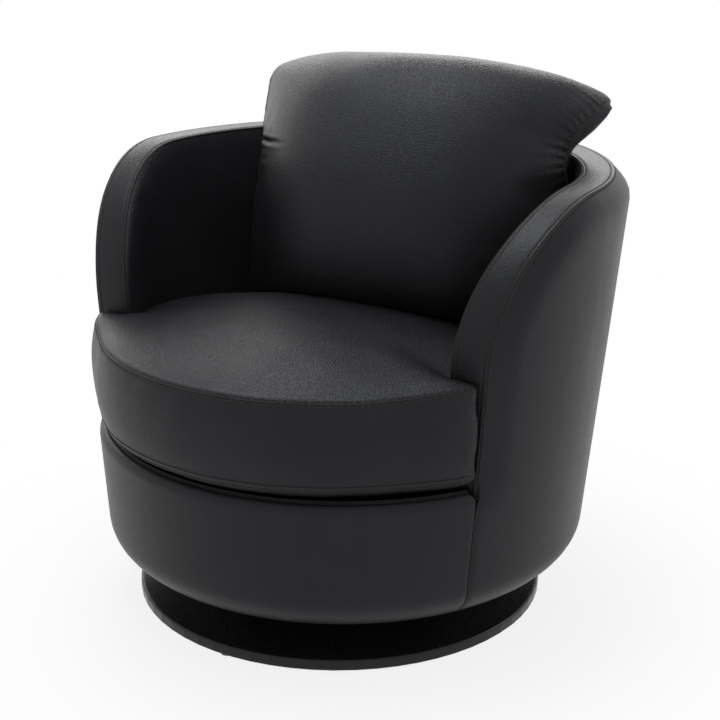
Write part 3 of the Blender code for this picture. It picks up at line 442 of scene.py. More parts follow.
def leather_finish(name, pucker=0.0, painted_lightening=1.0, relief=1.0):
    """Black hide. Pucker adds fine upright folds near the rim; painted lightening scales the black
    up, as painted light for hide that lies in shade.
    """
    dark = (*[painted_lightening * value for value in LEATHER_DARK], 1.0)
    worn = (*[painted_lightening * value for value in LEATHER_WORN], 1.0)
    material, net = new_material(name, dark[:3])
    place = net.node("ShaderNodeTexCoord")["Object"]
    height, pebble = grain_height(net, place)
    hide = cloudy(net, place, 5.0, 4.0, 0.6)["Fac"]
    blotch_sockets = {"Value": hide, "From Min": 0.35, "From Max": 0.65}
    blotch = net.node("ShaderNodeMapRange", None, blotch_sockets)["Result"]
    if pucker > 0.0:
        stretched = net.node("ShaderNodeMapping", None, {"Vector": place, "Scale": PUCKER_SCALE})
        folds = cloudy(net, stretched["Vector"], 1.0, 2.0)["Fac"]
        level = net.node("ShaderNodeSeparateXYZ", None, {"Vector": place})["Z"]
        height = height + pucker * folds * soft_range(net, level, PUCKER_FROM_Z, PUCKER_TO_Z)
    sockets = {
        "Base Color": blended(net, blotch, dark, worn),
        "Roughness": LEATHER_ROUGHNESS - 0.03 + 0.06 * blotch - 0.04 * pebble,
        "Normal": bumped(net, GRAIN_STRENGTH, relief * GRAIN_DEPTH, height),
        "Specular IOR Level": LEATHER_SPECULAR,
        "Specular Tint": LEATHER_SHEEN_TINT,
    }
    end_principled(net, sockets)
    return material


leather = leather_finish("black_leather", relief=0.8)
tight_leather = leather_finish("black_leather_tight", relief=0.45)
# The padding's copy of the hide is painted 1.8 times lighter: painted light on the shaded inside
# of the tub.
pad_leather_painted_lighter = leather_finish("black_leather_inside", pucker=2.2, painted_lightening=1.8)
print("leather grain of", GRAIN_SIZE * 1000.0, "mm")

# %% [markdown]
# ## The other finishes
#
# The base disc is steel with a satin black powder coat, whose fine orange peel is a faint
# noise bump. Thread is a little lighter than the hide and rougher. What the leather hides,
# such as plywood, webbing and zinc-plated steel, still gets its own finish, because the
# cushions lift out and the chair is also seen from below.

# %% The other finishes
def plain_finish(name, dark, light, roughness, scale, bump_depth=0.0, metallic=0.0,
                 specular=0.5, stretch=1.0):
    """A finish of two near colours, with noise of one scale in its colour, gloss and bump."""
    material, net = new_material(name, dark)
    place = net.node("ShaderNodeTexCoord")["Object"]
    stretched = {"Vector": place, "Scale": (1.0, stretch, 1.0)}
    placed = net.node("ShaderNodeMapping", None, stretched)["Vector"]
    mottle = cloudy(net, placed, scale, 5.0)["Fac"]
    sockets = {
        "Base Color": blended(net, mottle, (*dark, 1.0), (*light, 1.0)),
        "Roughness": roughness - 0.05 + 0.1 * mottle,
        "Metallic": metallic,
        "Specular IOR Level": specular,
    }
    if bump_depth > 0.0:
        sockets["Normal"] = bumped(net, 0.5, bump_depth, mottle)
    end_principled(net, sockets)
    return material


def woven_finish(name, dark, light, pitch, roughness):
    """Cloth: over and under threads along two directions of the part."""
    material, net = new_material(name, dark)
    place = net.node("ShaderNodeTexCoord")["Object"]
    ribs = []
    for direction in ("X", "Y"):
        wave_sockets = {"Vector": place, "Scale": 0.314 / pitch}
        wave = net.node("ShaderNodeTexWave", {"bands_direction": direction}, wave_sockets)
        ribs.append(wave["Fac"])
    weave = ribs[0] * ribs[1]
    sockets = {
        "Base Color": blended(net, weave, (*dark, 1.0), (*light, 1.0)),
        "Roughness": roughness + 0.05 * weave,
        "Normal": bumped(net, 0.6, 0.0003, weave),
    }
    end_principled(net, sockets)
    return material


powder_coat = plain_finish(
    "satin_black_powder_coat", (0.009, 0.009, 0.010), (0.012, 0.012, 0.013), 0.27, 900.0,
    bump_depth=0.00006, specular=0.22,
)
nylon = plain_finish(
    "black_nylon", (0.016, 0.016, 0.017), (0.024, 0.024, 0.025), 0.5, 300.0, bump_depth=0.00003
)
stained_board = plain_finish(
    "black_stained_board", (0.012, 0.011, 0.010), (0.020, 0.018, 0.016), 0.7, 120.0,
    bump_depth=0.0001, stretch=12.0,
)
zinc = plain_finish(
    "zinc_plated_steel", (0.42, 0.43, 0.44), (0.54, 0.55, 0.56), 0.36, 260.0,
    bump_depth=0.00002, metallic=1.0,
)
plywood = plain_finish(
    "birch_plywood", (0.50, 0.36, 0.21), (0.64, 0.49, 0.31), 0.62, 60.0,
    bump_depth=0.00008, stretch=10.0,
)
webbing_cloth = woven_finish(
    "elastic_webbing", (0.05, 0.045, 0.04), (0.14, 0.125, 0.11), 0.0022, 0.82
)
lining_cloth = woven_finish(
    "black_lining_cloth", (0.010, 0.010, 0.010), (0.026, 0.026, 0.027), 0.0012, 0.88
)
zip_nylon = plain_finish(
    "black_zip", (0.010, 0.010, 0.011), (0.022, 0.022, 0.023), 0.45, 700.0, bump_depth=0.0002
)
thread = plain_finish(
    "black_thread", (0.015, 0.015, 0.016), (0.025, 0.025, 0.027), 0.55, 2500.0,
    bump_depth=0.00005,
)
# Near-black matte for thin tubes in seams and under stitches: painted shade of the seams' gaps and
# of the stitch grooves.
seam_shadow = plain_finish(
    "inside_of_a_seam", (0.003, 0.003, 0.003), (0.004, 0.004, 0.004), 0.85, 400.0
)
print("finishes:", len(bpy.data.materials))

# %% [markdown]
# ## Outer covers
#
# The outside of the tub is three leather panels over foam: one on each arm and one behind.
# A panel's cut comes out of the rim seam, rounds over a soft shoulder, drops straight to the
# foot and rolls under it. A loft through such cuts keeps the hide smooth all round.
#
# Where two panels meet in an upright seam, the leather dips into it.

# %% Outer covers
SHOULDER_DEPTH = 0.034
SEAM_DIP = 0.0028
SEAM_DIP_WIDTH = 0.0024
COVER_ROWS = 22
FOOT_STEPS = 10


def foot_arc(inset, steps):
    wide = FOOT_ROUND_DEPTH - inset
    high = FOOT_ROUND_HEIGHT - inset
    start_z = BODY_BOTTOM_Z + FOOT_ROUND_HEIGHT
    angles = [0.5 * math.pi * step / steps for step in range(steps + 1)]
    return [(FOOT_ROUND_DEPTH - wide * math.cos(a), start_z - high * math.sin(a)) for a in angles]


def seam_dip(distance):
    return SEAM_DIP * math.exp(-((distance / SEAM_DIP_WIDTH) ** 1.4))


def edge_rows(cut, bottom_z, count):
    """Heights down one cut, close together under the rim seam."""
    rows = [cut["top"] - step for step in SEAM_STEPS] + [cut["top"] - SHOULDER_DEPTH]
    return rows + list(np.linspace(rows[-1], bottom_z, count)[1:])


def cover_face(cut, dip):
    """The leather's face as (inset, z) points, from the rim seam down to the foot."""
    upright_z = BODY_BOTTOM_Z + FOOT_ROUND_HEIGHT
    seam = outer_seam_inset(cut)
    outside = []
    for z in edge_rows(cut, upright_z, COVER_ROWS)[:-1]:
        from_edge = edge_distance(cut, z) - SEAM_EDGE
        fall = min(max(1.0 - from_edge / SHOULDER_DEPTH, 0.0), 1.0)
        above = smooth_step(FORWARD_FROM_Z, FORWARD_TO_Z + 0.03, z)
        outside.append((seam * fall * fall * above + dip * (1.0 - above * fall), z))
    for inset, z in foot_arc(0.0, FOOT_STEPS):
        outside.append((inset + dip * (1.0 - inset / FOOT_ROUND_DEPTH), z))
    return outside


def cover_cut(cut, dip):
    """The outer leather's whole section: its face, and back up behind it."""
    inside = list(reversed(foot_arc(COVER_THICKNESS, FOOT_STEPS)))
    inside += [(COVER_THICKNESS, z) for z in (0.3, cut["top"] - 0.03, cut["top"] - 0.0008)]
    return cover_face(cut, dip) + inside


side_cuts = side_wall_cuts(SEAM_EDGE, SEAM_STEPS, seam_last=True)
back_cuts = back_wall_cuts(SEAM_EDGE, seams=True)
for cut in side_cuts:
    if "y" in cut:
        from_front = cut["y"] - side_cuts[0]["y"]
        cut["forward"] = FRONT_SEAM_FORWARD * (1.0 - smooth_step(0.0, FORWARD_FADE, from_front))


def side_cover_cut(cut):
    from_seam = math.radians(SIDE_SEAM_ANGLE - cut.get("angle", 0.0)) * SIDE_SEAM_RADIUS
    if "y" in cut:
        from_seam = cut["y"] - side_cuts[0]["y"]
    return cover_cut(cut, seam_dip(from_seam))


def back_cover_cut(cut):
    from_seam = min(cut["angle"] - SIDE_SEAM_ANGLE, 360.0 - SIDE_SEAM_ANGLE - cut["angle"])
    return cover_cut(cut, seam_dip(math.radians(from_seam) * SIDE_SEAM_RADIUS))


wall_layer(
    "outer_leather", "outer_cover", tight_leather,
    lambda side: wall_loops(side_cover_cut, side_cuts, side),
    wall_loops(back_cover_cut, back_cuts),
)

# %% [markdown]
# ## Inner padding
#
# Inside the tub the leather lies over thicker foam. It puffs out of the rim seam in a soft
# roll and then runs down behind the seat cushion, a little thinner there.

# %% Inner padding
PAD_ROLL = 0.024
PAD_LEAN = 0.0085
PAD_LEAN_FROM_Z = 0.42
PAD_LEAN_TO_Z = 0.60
PAD_ROWS = 18


def pad_inset(cut, z):
    seam = inner_seam_inset(cut) - 0.0003
    full = WALL_THICKNESS + PAD_LEAN * smooth_step(PAD_LEAN_FROM_Z, PAD_LEAN_TO_Z, z)
    near = min(max(1.0 - (edge_distance(cut, z) - SEAM_EDGE) / PAD_ROLL, 0.0), 1.0)
    return seam + (full - seam) * math.sqrt(1.0 - near * near)


def pad_cut(cut):
    bottom_z = DECK_TOP_Z + 0.0005
    seat_side = [(pad_inset(cut, z), z) for z in edge_rows(cut, bottom_z, PAD_ROWS)]
    return seat_side + [(PAD_BACK_INSET, bottom_z), (PAD_BACK_INSET, cut["top"])]


# The padding wears the lighter copy of the hide, painted light for the shaded inside of the tub.
wall_layer(
    "inner_leather", "inner_pad", pad_leather_painted_lighter,
    lambda side: wall_loops(pad_cut, side_wall_cuts(SEAM_EDGE, SEAM_STEPS), side),
    wall_loops(pad_cut, back_wall_cuts(SEAM_EDGE)),
)

# %% [markdown]
# ## Rim band
#
# A strip of leather 45 mm wide closes the wall. It starts at the deck in front of each arm,
# runs over the arm and round the back. Its edges are turned under at the two seams, and a
# row of stitches pulls a shallow groove beside each. One cut across the strip is carried
# along the arm's outline.

# %% Rim band
BAND_LIFT = 0.0012
BAND_EDGE_RADIUS = 0.0018
BAND_CROWN = 0.0012
OUTER_STITCHES_IN = 0.0055
INNER_STITCHES_IN = 0.0045
GROOVE_DEPTH = 0.0007
GROOVE_WIDTH = 0.0012
BAND_FOOT_Z = DECK_TOP_Z - 0.028


def band_depth(across):
    """Depth of the strip's face under its highest line, across from its outer edge."""
    from_edge = min(across, BAND_WIDTH - across)
    short = max(BAND_EDGE_RADIUS - from_edge, 0.0)
    turned = BAND_EDGE_RADIUS - math.sqrt(BAND_EDGE_RADIUS ** 2 - short ** 2)
    crown = BAND_CROWN * (2.0 * across / BAND_WIDTH - 1.0) ** 2
    outer = math.exp(-(((across - OUTER_STITCHES_IN) / GROOVE_WIDTH) ** 2))
    inner = math.exp(-(((BAND_WIDTH - INNER_STITCHES_IN - across) / GROOVE_WIDTH) ** 2))
    return turned + crown + GROOVE_DEPTH * (outer + inner) - BAND_LIFT


outer_half = (
    0.0, 0.0002, 0.0006, 0.0012, 0.002, 0.0032, 0.0042, 0.0049,
    0.0055, 0.0061, 0.0068, 0.008, 0.011, 0.016,
)
inner_half = (
    0.016, 0.011, 0.0075, 0.006, 0.0052, 0.0045, 0.0038, 0.003,
    0.002, 0.0012, 0.0006, 0.0002, 0.0,
)
band_across = [*outer_half, 0.5 * BAND_WIDTH] + [BAND_WIDTH - step for step in inner_half]
band_section = [(across, band_depth(across)) for across in band_across]
band_section = [(0.0, BAND_THICKNESS)] + band_section + [(BAND_WIDTH, BAND_THICKNESS)]


def rim_point(cut, across, depth, side):
    """Point on the rim band, across from its outer edge and a depth under its outline."""
    inset = outer_seam_inset(cut) + across
    if "turn" in cut:
        reach = ARM_CORNER_RADIUS - depth
        y = ARC_CENTRE_Y - reach * math.cos(cut["turn"])
        z = ARC_CENTRE_Z + reach * math.sin(cut["turn"])
        return wall_point({"y": y}, inset, z, side)
    if "front_z" in cut:
        return wall_point({"y": ARM_FRONT_Y + depth}, inset, cut["front_z"], side)
    return wall_point(cut, inset, RIM_Z - depth, side)


def band_loops(cuts, side=1.0):
    return [[rim_point(cut, *place, side) for place in band_section] for cut in cuts]


rises = np.linspace(BAND_FOOT_Z, ARC_CENTRE_Z, 14)[:-1]
band_side_cuts = [{"front_z": z, "level": 0.0} for z in rises] + side_wall_cuts(0.0)
band_back_cuts = back_wall_cuts(0.0)
wall_layer(
    "rim_leather", "rim_band", tight_leather,
    lambda side: band_loops(band_side_cuts, side),
    band_loops(band_back_cuts),
)

# %% [markdown]
# ## Front panel
#
# Below the seat the front is one panel between the two arm panels. It rolls over at its top,
# where a narrow welt stands in the seam to the deck, and it dips into the seams at its ends.

# %% Front panel
FRONT_ROLL_RADIUS = 0.017
FRONT_LIP_INSET = 0.050
FRONT_WELT_INSET = 0.0125
FRONT_END_Y = ARM_FRONT_Y + SEAM_EDGE - FRONT_SEAM_FORWARD - 0.0006
HALF_FRONT = 0.37
WELT_GROOVE = 0.0016
ROLL_STEPS = 16


def front_point(share, inset, z):
    radius = shell_radius(z) - inset
    centre = shell_centre_y(z)
    end_y = centre + (FRONT_END_Y - centre) * foot_share(inset, z)
    angle = share * math.acos((centre - end_y) / radius)
    return (radius * math.sin(angle), centre - radius * math.cos(angle), z)


def front_section(dip):
    foot = reversed(foot_arc(0.0, FOOT_STEPS))
    outside = [(inset + dip * (1.0 - inset / FOOT_ROUND_DEPTH), z) for inset, z in foot]
    roll_z = DECK_TOP_Z - FRONT_ROLL_RADIUS
    outside += [(dip, z) for z in np.linspace(outside[-1][1], roll_z, 8)[1:-1]]
    for step in range(ROLL_STEPS + 1):
        angle = 0.5 * math.pi * step / ROLL_STEPS
        inset = FRONT_ROLL_RADIUS * (1.0 - math.cos(angle))
        z = roll_z + FRONT_ROLL_RADIUS * math.sin(angle)
        sunk = WELT_GROOVE * math.exp(-(((inset - FRONT_WELT_INSET) / WELT_GROOVE) ** 2))
        outside.append((dip + inset, z - dip * math.sin(angle) - sunk))
    outside.append((FRONT_ROLL_RADIUS + dip + 0.004, DECK_TOP_Z - 0.001))
    lip_z = DECK_TOP_Z - COVER_THICKNESS
    lip = [(FRONT_LIP_INSET, DECK_TOP_Z - 0.001), (FRONT_LIP_INSET, lip_z)]
    return outside + lip + [(COVER_THICKNESS + dip, lip_z)] + foot_arc(COVER_THICKNESS, 6)


end_shares = [1.0 - step / HALF_FRONT for step in SEAM_STEPS[:8]]
middle_shares = list(np.linspace(-0.955, 0.955, 51))
loops = []
for share in [-share for share in end_shares] + middle_shares + list(reversed(end_shares)):
    section = front_section(seam_dip((1.0 - abs(share)) * HALF_FRONT))
    loops.append([front_point(share, inset, z) for inset, z in section])
front_panel = loft("front_leather", loops)
finish_piece(front_panel, tight_leather, "body", "leather", "front_cover")

# %% [markdown]
# ## The shape of the seat cushion
#
# The cushion is a thick box of foam in a sewn case: a top and a bottom panel joined by a side
# band. Its front is a round bow whose ends spread and stand as wings in front of the arms.
# Behind them it narrows to the round well of the tub, and its top falls towards the back,
# where the pillow presses on it.
#
# The first shape below is the empty case, a little smaller than the stuffed cushion. The
# stuffing follows in the next step.

# %% The shape of the seat cushion
CUSHION_FRONT_RADIUS = 0.3355
CUSHION_CENTRE_Y = -0.017
CUSHION_BOTTOM_Z = 0.2694
CUSHION_LOWER_SEAM_Z = 0.2884
CUSHION_UPPER_SEAM_Z = 0.4074
CUSHION_CROWN = 0.038
CUSHION_BULGE = 0.012
CUSHION_SIDE_GAP = 0.003
BACK_DROP = 0.041
DROP_FROM_Y = -0.160
DROP_TO_Y = 0.160
WING_RISE = 0.0075
RISE_FROM_X = 0.225
RISE_TO_X = 0.318
WING_END_Y = -0.125
WING_BACK_Y = ARM_FRONT_Y - 0.0026
WING_DEPTH = 0.035
WING_ROUND = 0.007
WING_TUCK = 0.003
WING_SPREAD = 0.0135
WING_SPREAD_FROM = math.radians(45.0)
PRESSED_SHARE = 0.62
PRESSED_FROM_Y = -0.050
PRESSED_OVER = 0.100
FRONT_POINTS = 90
WELL_POINTS = 110
FOOT_SHARES = (0.02, 0.3, 0.6, 0.8, 0.92, 0.965)
SIDE_SHARES = (0.0, 0.03, 0.08, 0.16, 0.28, 0.42, 0.58, 0.72, 0.84, 0.92, 0.97, 1.0)
TOP_SHARES = (0.99, 0.975, 0.95, 0.9, 0.84, 0.76, 0.66, 0.55, 0.42, 0.28, 0.14, 0.02)


def seam_drop(x, y):
    """How far the upper seam lies lower than at the cushion's front; less than 0 at a wing."""
    before_arm = 1.0 - smooth_step(ARM_FRONT_Y, WING_END_Y, y)
    wing = smooth_step(RISE_FROM_X, RISE_TO_X, abs(x)) * before_arm
    return BACK_DROP * smooth_step(DROP_FROM_Y, DROP_TO_Y, y) - WING_RISE * wing


def well_point(angle, z):
    radius = shell_radius(z) - WALL_THICKNESS - CUSHION_SIDE_GAP
    return radius * math.sin(angle), shell_centre_y(z) - radius * math.cos(angle)


def cushion_outline(z, bulge=0.0, drop_share=0.0):
    """Plan outline at one height, counter-clockwise, starting at the left wing."""
    wing_radius = CUSHION_FRONT_RADIUS + WING_SPREAD
    end = math.acos((CUSHION_CENTRE_Y - WING_BACK_Y) / wing_radius)
    reach = end - WING_ROUND / wing_radius
    points = []
    for angle in np.linspace(-reach, reach, FRONT_POINTS):
        spread = WING_SPREAD * smooth_step(WING_SPREAD_FROM, reach, abs(angle))
        front = CUSHION_FRONT_RADIUS + spread + bulge
        points.append((front * math.sin(angle), CUSHION_CENTRE_Y - front * math.cos(angle)))
    wing_x, wing_y = points[-1]
    corner = []
    for turn in (0.25, 0.5, 0.75, 1.0):
        angle = 0.5 * math.pi * turn
        x = wing_x - WING_TUCK * (1.0 - math.cos(angle))
        corner.append((x, wing_y + (WING_BACK_Y - wing_y) * math.sin(angle)))
    radius = shell_radius(z) - WALL_THICKNESS - CUSHION_SIDE_GAP
    narrow = math.acos((shell_centre_y(z) - WING_BACK_Y) / radius)
    well = []
    for angle in np.linspace(narrow, 2.0 * math.pi - narrow, WELL_POINTS):
        level = z - drop_share * seam_drop(*well_point(angle, z))
        well.append(well_point(angle, level))
    start_x = corner[-1][0]
    width = well[0][0] - start_x
    back = [(start_x + width * share, WING_BACK_Y) for share in (0.2, 0.4, 0.6, 0.8)]
    mirrored = [(-x, y) for x, y in reversed(corner + back)]
    return points + corner + back + well + mirrored


def drawn_in(outline, share, z):
    """The outline drawn towards the middle, away from the arm fronts first."""
    start_y = WING_BACK_Y - WING_DEPTH
    shift = (CUSHION_CENTRE_Y - start_y) * (1.0 - share) ** 2
    return [(share * x, start_y + shift + share * (y - start_y), z) for x, y in outline]


def crown_height(share, x, y, crown):
    """How far the top stands over its seam; it is flatter where the pillow presses."""
    behind = smooth_step(PRESSED_FROM_Y, PRESSED_FROM_Y + PRESSED_OVER, y)
    pressed = 1.0 - (1.0 - PRESSED_SHARE) * behind
    out = share ** 2.6
    return crown * pressed * (1.0 - out) ** 0.62 - out * seam_drop(x, y)


def cushion_case(crown, bulge):
    """Loops from the middle of the bottom, up the side band, to the middle of the top."""
    low = CUSHION_BOTTOM_Z
    foot = cushion_outline(low)
    lower = cushion_outline(CUSHION_LOWER_SEAM_Z)
    upper = cushion_outline(CUSHION_UPPER_SEAM_Z, 0.0, 1.0)
    loops = [drawn_in(foot, share, low) for share in FOOT_SHARES]
    loops += [drawn_in(foot, 0.985, low + 0.002), drawn_in(foot, 0.996, low + 0.007)]
    loops.append(drawn_in(lower, 0.999, CUSHION_LOWER_SEAM_Z - 0.004))
    height = CUSHION_UPPER_SEAM_Z - CUSHION_LOWER_SEAM_Z
    for share in SIDE_SHARES:
        z = CUSHION_LOWER_SEAM_Z + share * height
        out = bulge * math.sqrt(4.0 * share * (1.0 - share))
        outline = cushion_outline(z, out, share)
        loops.append([(x, y, z - share * seam_drop(x, y)) for x, y in outline])
    for share in TOP_SHARES:
        top = drawn_in(upper, share, CUSHION_UPPER_SEAM_Z)
        loops.append([(x, y, z + crown_height(share, x, y, crown)) for x, y, z in top])
    return loops


print("cushion outline of", len(cushion_outline(CUSHION_UPPER_SEAM_Z)), "points")

# %% [markdown]
# ## Points of a mesh
#
# The padded pieces are worked on as arrays of points: read from the mesh, moved, and written
# back. Modifiers are applied at once, so that what is measured is what is shown.

# %% Points of a mesh
def evaluated_mesh(piece):
    graph = bpy.context.evaluated_depsgraph_get()
    return bpy.data.meshes.new_from_object(piece.evaluated_get(graph))


def applied(piece):
    """Put the mesh that the piece's modifiers make in place of its own."""
    mesh = evaluated_mesh(piece)
    piece.modifiers.clear()
    piece.data = mesh
    mesh.shade_smooth()


def remeshed(piece, voxel):
    fine = piece.modifiers.new("even_faces", "REMESH")
    fine.mode = "VOXEL"
    fine.voxel_size = voxel
    applied(piece)


def subdivided(piece):
    finer = piece.modifiers.new("finer", "SUBSURF")
    finer.levels = 1
    finer.render_levels = 1
    applied(piece)


def coordinates(mesh, kind="co"):
    flat = np.empty(len(mesh.vertices) * 3)
    mesh.vertices.foreach_get(kind, flat)
    return flat.reshape(-1, 3)


def pushed_out(mesh, lengths):
    """Move every point along its normal."""
    away = coordinates(mesh, "normal") * lengths[:, None]
    set_coordinates(mesh, coordinates(mesh) + away)


def set_coordinates(mesh, points):
    mesh.vertices.foreach_set("co", np.asarray(points, dtype=float).ravel())
    mesh.update()


def nearest_on(points, path):
    """For each point, the nearest place of a path: its number and its distance."""
    tree = KDTree(len(path))
    for index, place in enumerate(path):
        tree.insert(place, index)
    tree.balance()
    found = [tree.find(point) for point in points]
    return np.array([hit[1] for hit in found]), np.array([hit[2] for hit in found])


def tree_of(piece):
    """The surface of a piece, for finding places on it."""
    mesh = piece.data
    corners = [vertex.co.copy() for vertex in mesh.vertices]
    return BVHTree.FromPolygons(corners, [tuple(face.vertices) for face in mesh.polygons])


print("mesh tools ready")

# %% [markdown]
# ## Stuffing a case with a cloth simulation
#
# Padded leather is best made as the real thing is: sew a case, then blow it up. The case is
# remeshed into even small faces, its sewn edges are pinned, and Blender's cloth is run for
# twenty frames with air pressure inside and no gravity. The result is applied to the mesh.
#
# Two limits keep it on the chair. No point may move further than a cap, and what would reach
# into the arms, the deck or the cushion below is laid against them, which makes the flat
# places where a real cushion rests.

# %% Stuffing a case
STUFFING_FRAMES = 20
PINNED_WIDTH = 0.009
PIN_STRENGTH = 1.4
CLOTH = {
    "quality": 6,
    "mass": 0.4,
    "tension_stiffness": 12.0,
    "compression_stiffness": 12.0,
    "shear_stiffness": 6.0,
    "bending_stiffness": 2.0,
    "use_pressure": True,
}


def stuffed(piece, sewn_paths, pressure, cap, slack):
    """Blow the case up with its sewn paths held, and apply what the cloth has become."""
    start = coordinates(piece.data)
    away = nearest_on(start, [point for path in sewn_paths for point in path])[1]
    held = piece.vertex_groups.new(name="sewn_edge")
    for index, distance in enumerate(away):
        weight = max(1.0 - distance / PINNED_WIDTH, 0.0)
        if weight > 0.0:
            held.add([index], min(PIN_STRENGTH * weight, 1.0), "REPLACE")
    cloth = piece.modifiers.new("stuffing", "CLOTH")
    for setting, value in CLOTH.items():
        setattr(cloth.settings, setting, value)
    cloth.settings.uniform_pressure_force = pressure
    cloth.settings.shrink_min = -slack
    cloth.settings.vertex_group_mass = held.name
    cloth.settings.effector_weights.gravity = 0.0
    cloth.collision_settings.use_collision = False
    cloth.point_cache.frame_start = 1
    cloth.point_cache.frame_end = STUFFING_FRAMES
    for step in range(1, STUFFING_FRAMES + 1):
        chair_scene.frame_set(step)
    mesh = evaluated_mesh(piece)
    end = coordinates(mesh)
    piece.modifiers.clear()
    piece.vertex_groups.clear()
    piece.data = mesh
    chair_scene.frame_set(1)
    move = end - start
    length = np.linalg.norm(move, axis=1)
    share = np.minimum(1.0, cap / np.maximum(length, 1e-9))
    set_coordinates(mesh, start + move * share[:, None])
    moved = round(float(np.minimum(length, cap).max()) * 1000.0, 1)
    print(piece.name, "stuffed: moved up to", moved, "mm")


print("stuffing takes", STUFFING_FRAMES, "frames")

# %% [markdown]
# ## Working the leather
#
# What the stuffing leaves is still too regular. Seams draw the leather in, sharp creases are
# ironed out, and slow swells and hollows make the surface as uneven as hide over foam is.

# %% Working the leather
CREASE_GAP = 0.003


def pressed_in(mesh, path, depth, width, ridge=0.0, fading=False):
    """Draw the leather into a line, and let it puff up beside the line."""
    number, away = nearest_on(coordinates(mesh), path)
    share = (1.0 - (number / (len(path) - 1)) ** 1.5) if fading else 1.0
    valley = depth * np.exp(-((away / width) ** 2))
    puff = ridge * np.exp(-(((away - 2.2 * width) / (1.1 * width)) ** 2))
    pushed_out(mesh, share * (puff - valley))


def softened(mesh, mask, rounds):
    """Average the masked points with their neighbours, to iron sharp creases out."""
    edges = np.empty(len(mesh.edges) * 2, dtype=int)
    mesh.edges.foreach_get("vertices", edges)
    edges = edges.reshape(-1, 2)
    points = coordinates(mesh)
    count = np.bincount(edges.ravel(), minlength=len(points))
    for _ in range(rounds):
        total = np.zeros_like(points)
        for ends in (edges, edges[:, ::-1]):
            for axis in range(3):
                shares = points[ends[:, 1], axis]
                total[:, axis] += np.bincount(ends[:, 0], weights=shares, minlength=len(points))
        mean = total / np.maximum(count, 1)[:, None]
        points = points + 0.5 * mask[:, None] * (mean - points)
    set_coordinates(mesh, points)


def clear_of(mesh, paths, width):
    """0 on the paths and 1 further from them than a width, for every point."""
    away = nearest_on(coordinates(mesh), [place for path in paths for place in path])[1]
    return np.clip((away - CREASE_GAP) / width, 0.0, 1.0)


def unevened(mesh, size, depth):
    """Slow swells and hollows, as hide over foam always has."""
    places = coordinates(mesh)
    swell = np.array([noise.noise(Vector(place) / size) for place in places])
    pushed_out(mesh, depth * swell)


print("leather tools ready")

# %% [markdown]
# ## Seat cushion
#
# The case is sewn along two closed paths, round its top and round its bottom. Those are held
# while the panels between them swell.

# %% Seat cushion
CUSHION_CLEARANCE = 0.0016
CUSHION_VOXEL = 0.0058


def lowered_path(z, drop_share):
    outline = cushion_outline(z, 0.0, drop_share)
    return [Vector((x, y, z - drop_share * seam_drop(x, y))) for x, y in outline]


def kept_in_well(points):
    """Lay a cushion's points against the arms, the padding and the deck."""
    points = points.copy()
    radius = shell_radius(points[:, 2]) - WALL_THICKNESS - CUSHION_CLEARANCE
    centre = shell_centre_y(points[:, 2])
    narrow_x = np.sqrt(np.maximum(radius ** 2 - (WING_BACK_Y - centre) ** 2, 0.0))
    wing = (np.abs(points[:, 0]) > narrow_x - 0.002) & (points[:, 1] < ARM_FRONT_Y + 0.012)
    points[wing, 1] = np.minimum(points[wing, 1], WING_BACK_Y)
    out = np.hypot(points[:, 0], points[:, 1] - centre)
    inside = (~wing) & (points[:, 1] > ARM_FRONT_Y - 0.004) & (out > radius)
    share = np.where(inside, radius / np.maximum(out, 1e-9), 1.0)
    points[:, 0] *= share
    points[:, 1] = centre + (points[:, 1] - centre) * share
    points[:, 2] = np.maximum(points[:, 2], CUSHION_BOTTOM_Z)
    return points


upper_path = lowered_path(CUSHION_UPPER_SEAM_Z, 1.0)
lower_path = lowered_path(CUSHION_LOWER_SEAM_Z, 0.0)
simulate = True
start_crown = CUSHION_CROWN * (0.90 if simulate else 1.0)
start_bulge = CUSHION_BULGE * (0.85 if simulate else 1.0)
cushion = loft("seat_cushion_leather", cushion_case(start_crown, start_bulge))
if simulate:
    sewn = [upper_path, lower_path]
    remeshed(cushion, CUSHION_VOXEL)
    stuffed(cushion, sewn, pressure=4.0, cap=0.024, slack=0.0)
    softened(cushion.data, clear_of(cushion.data, sewn, 0.012), 30)
    subdivided(cushion)
    unevened(cushion.data, size=0.050, depth=0.0008)
    pressed_in(cushion.data, upper_path, depth=0.0011, width=0.0030, ridge=0.0007)
set_coordinates(cushion.data, kept_in_well(coordinates(cushion.data)))
finish_piece(cushion, leather, "cushion", "leather", "seat_cushion")
tops = coordinates(cushion.data)
print("cushion from", tops.min(axis=0).round(3), "to", tops.max(axis=0).round(3))

# %% [markdown]
# ## The shape of the back pillow
#
# The pillow is stuffed much softer. It leans on the inside of the tub, is turned a few
# degrees, and its two upper corners stand up as ears over the rim. Only its two side edges
# are sewn where they show, so the front runs over the top without a seam.
#
# The right side is drawn forward and inward by its gathered seam, so that the back panel
# puffs out beside it.

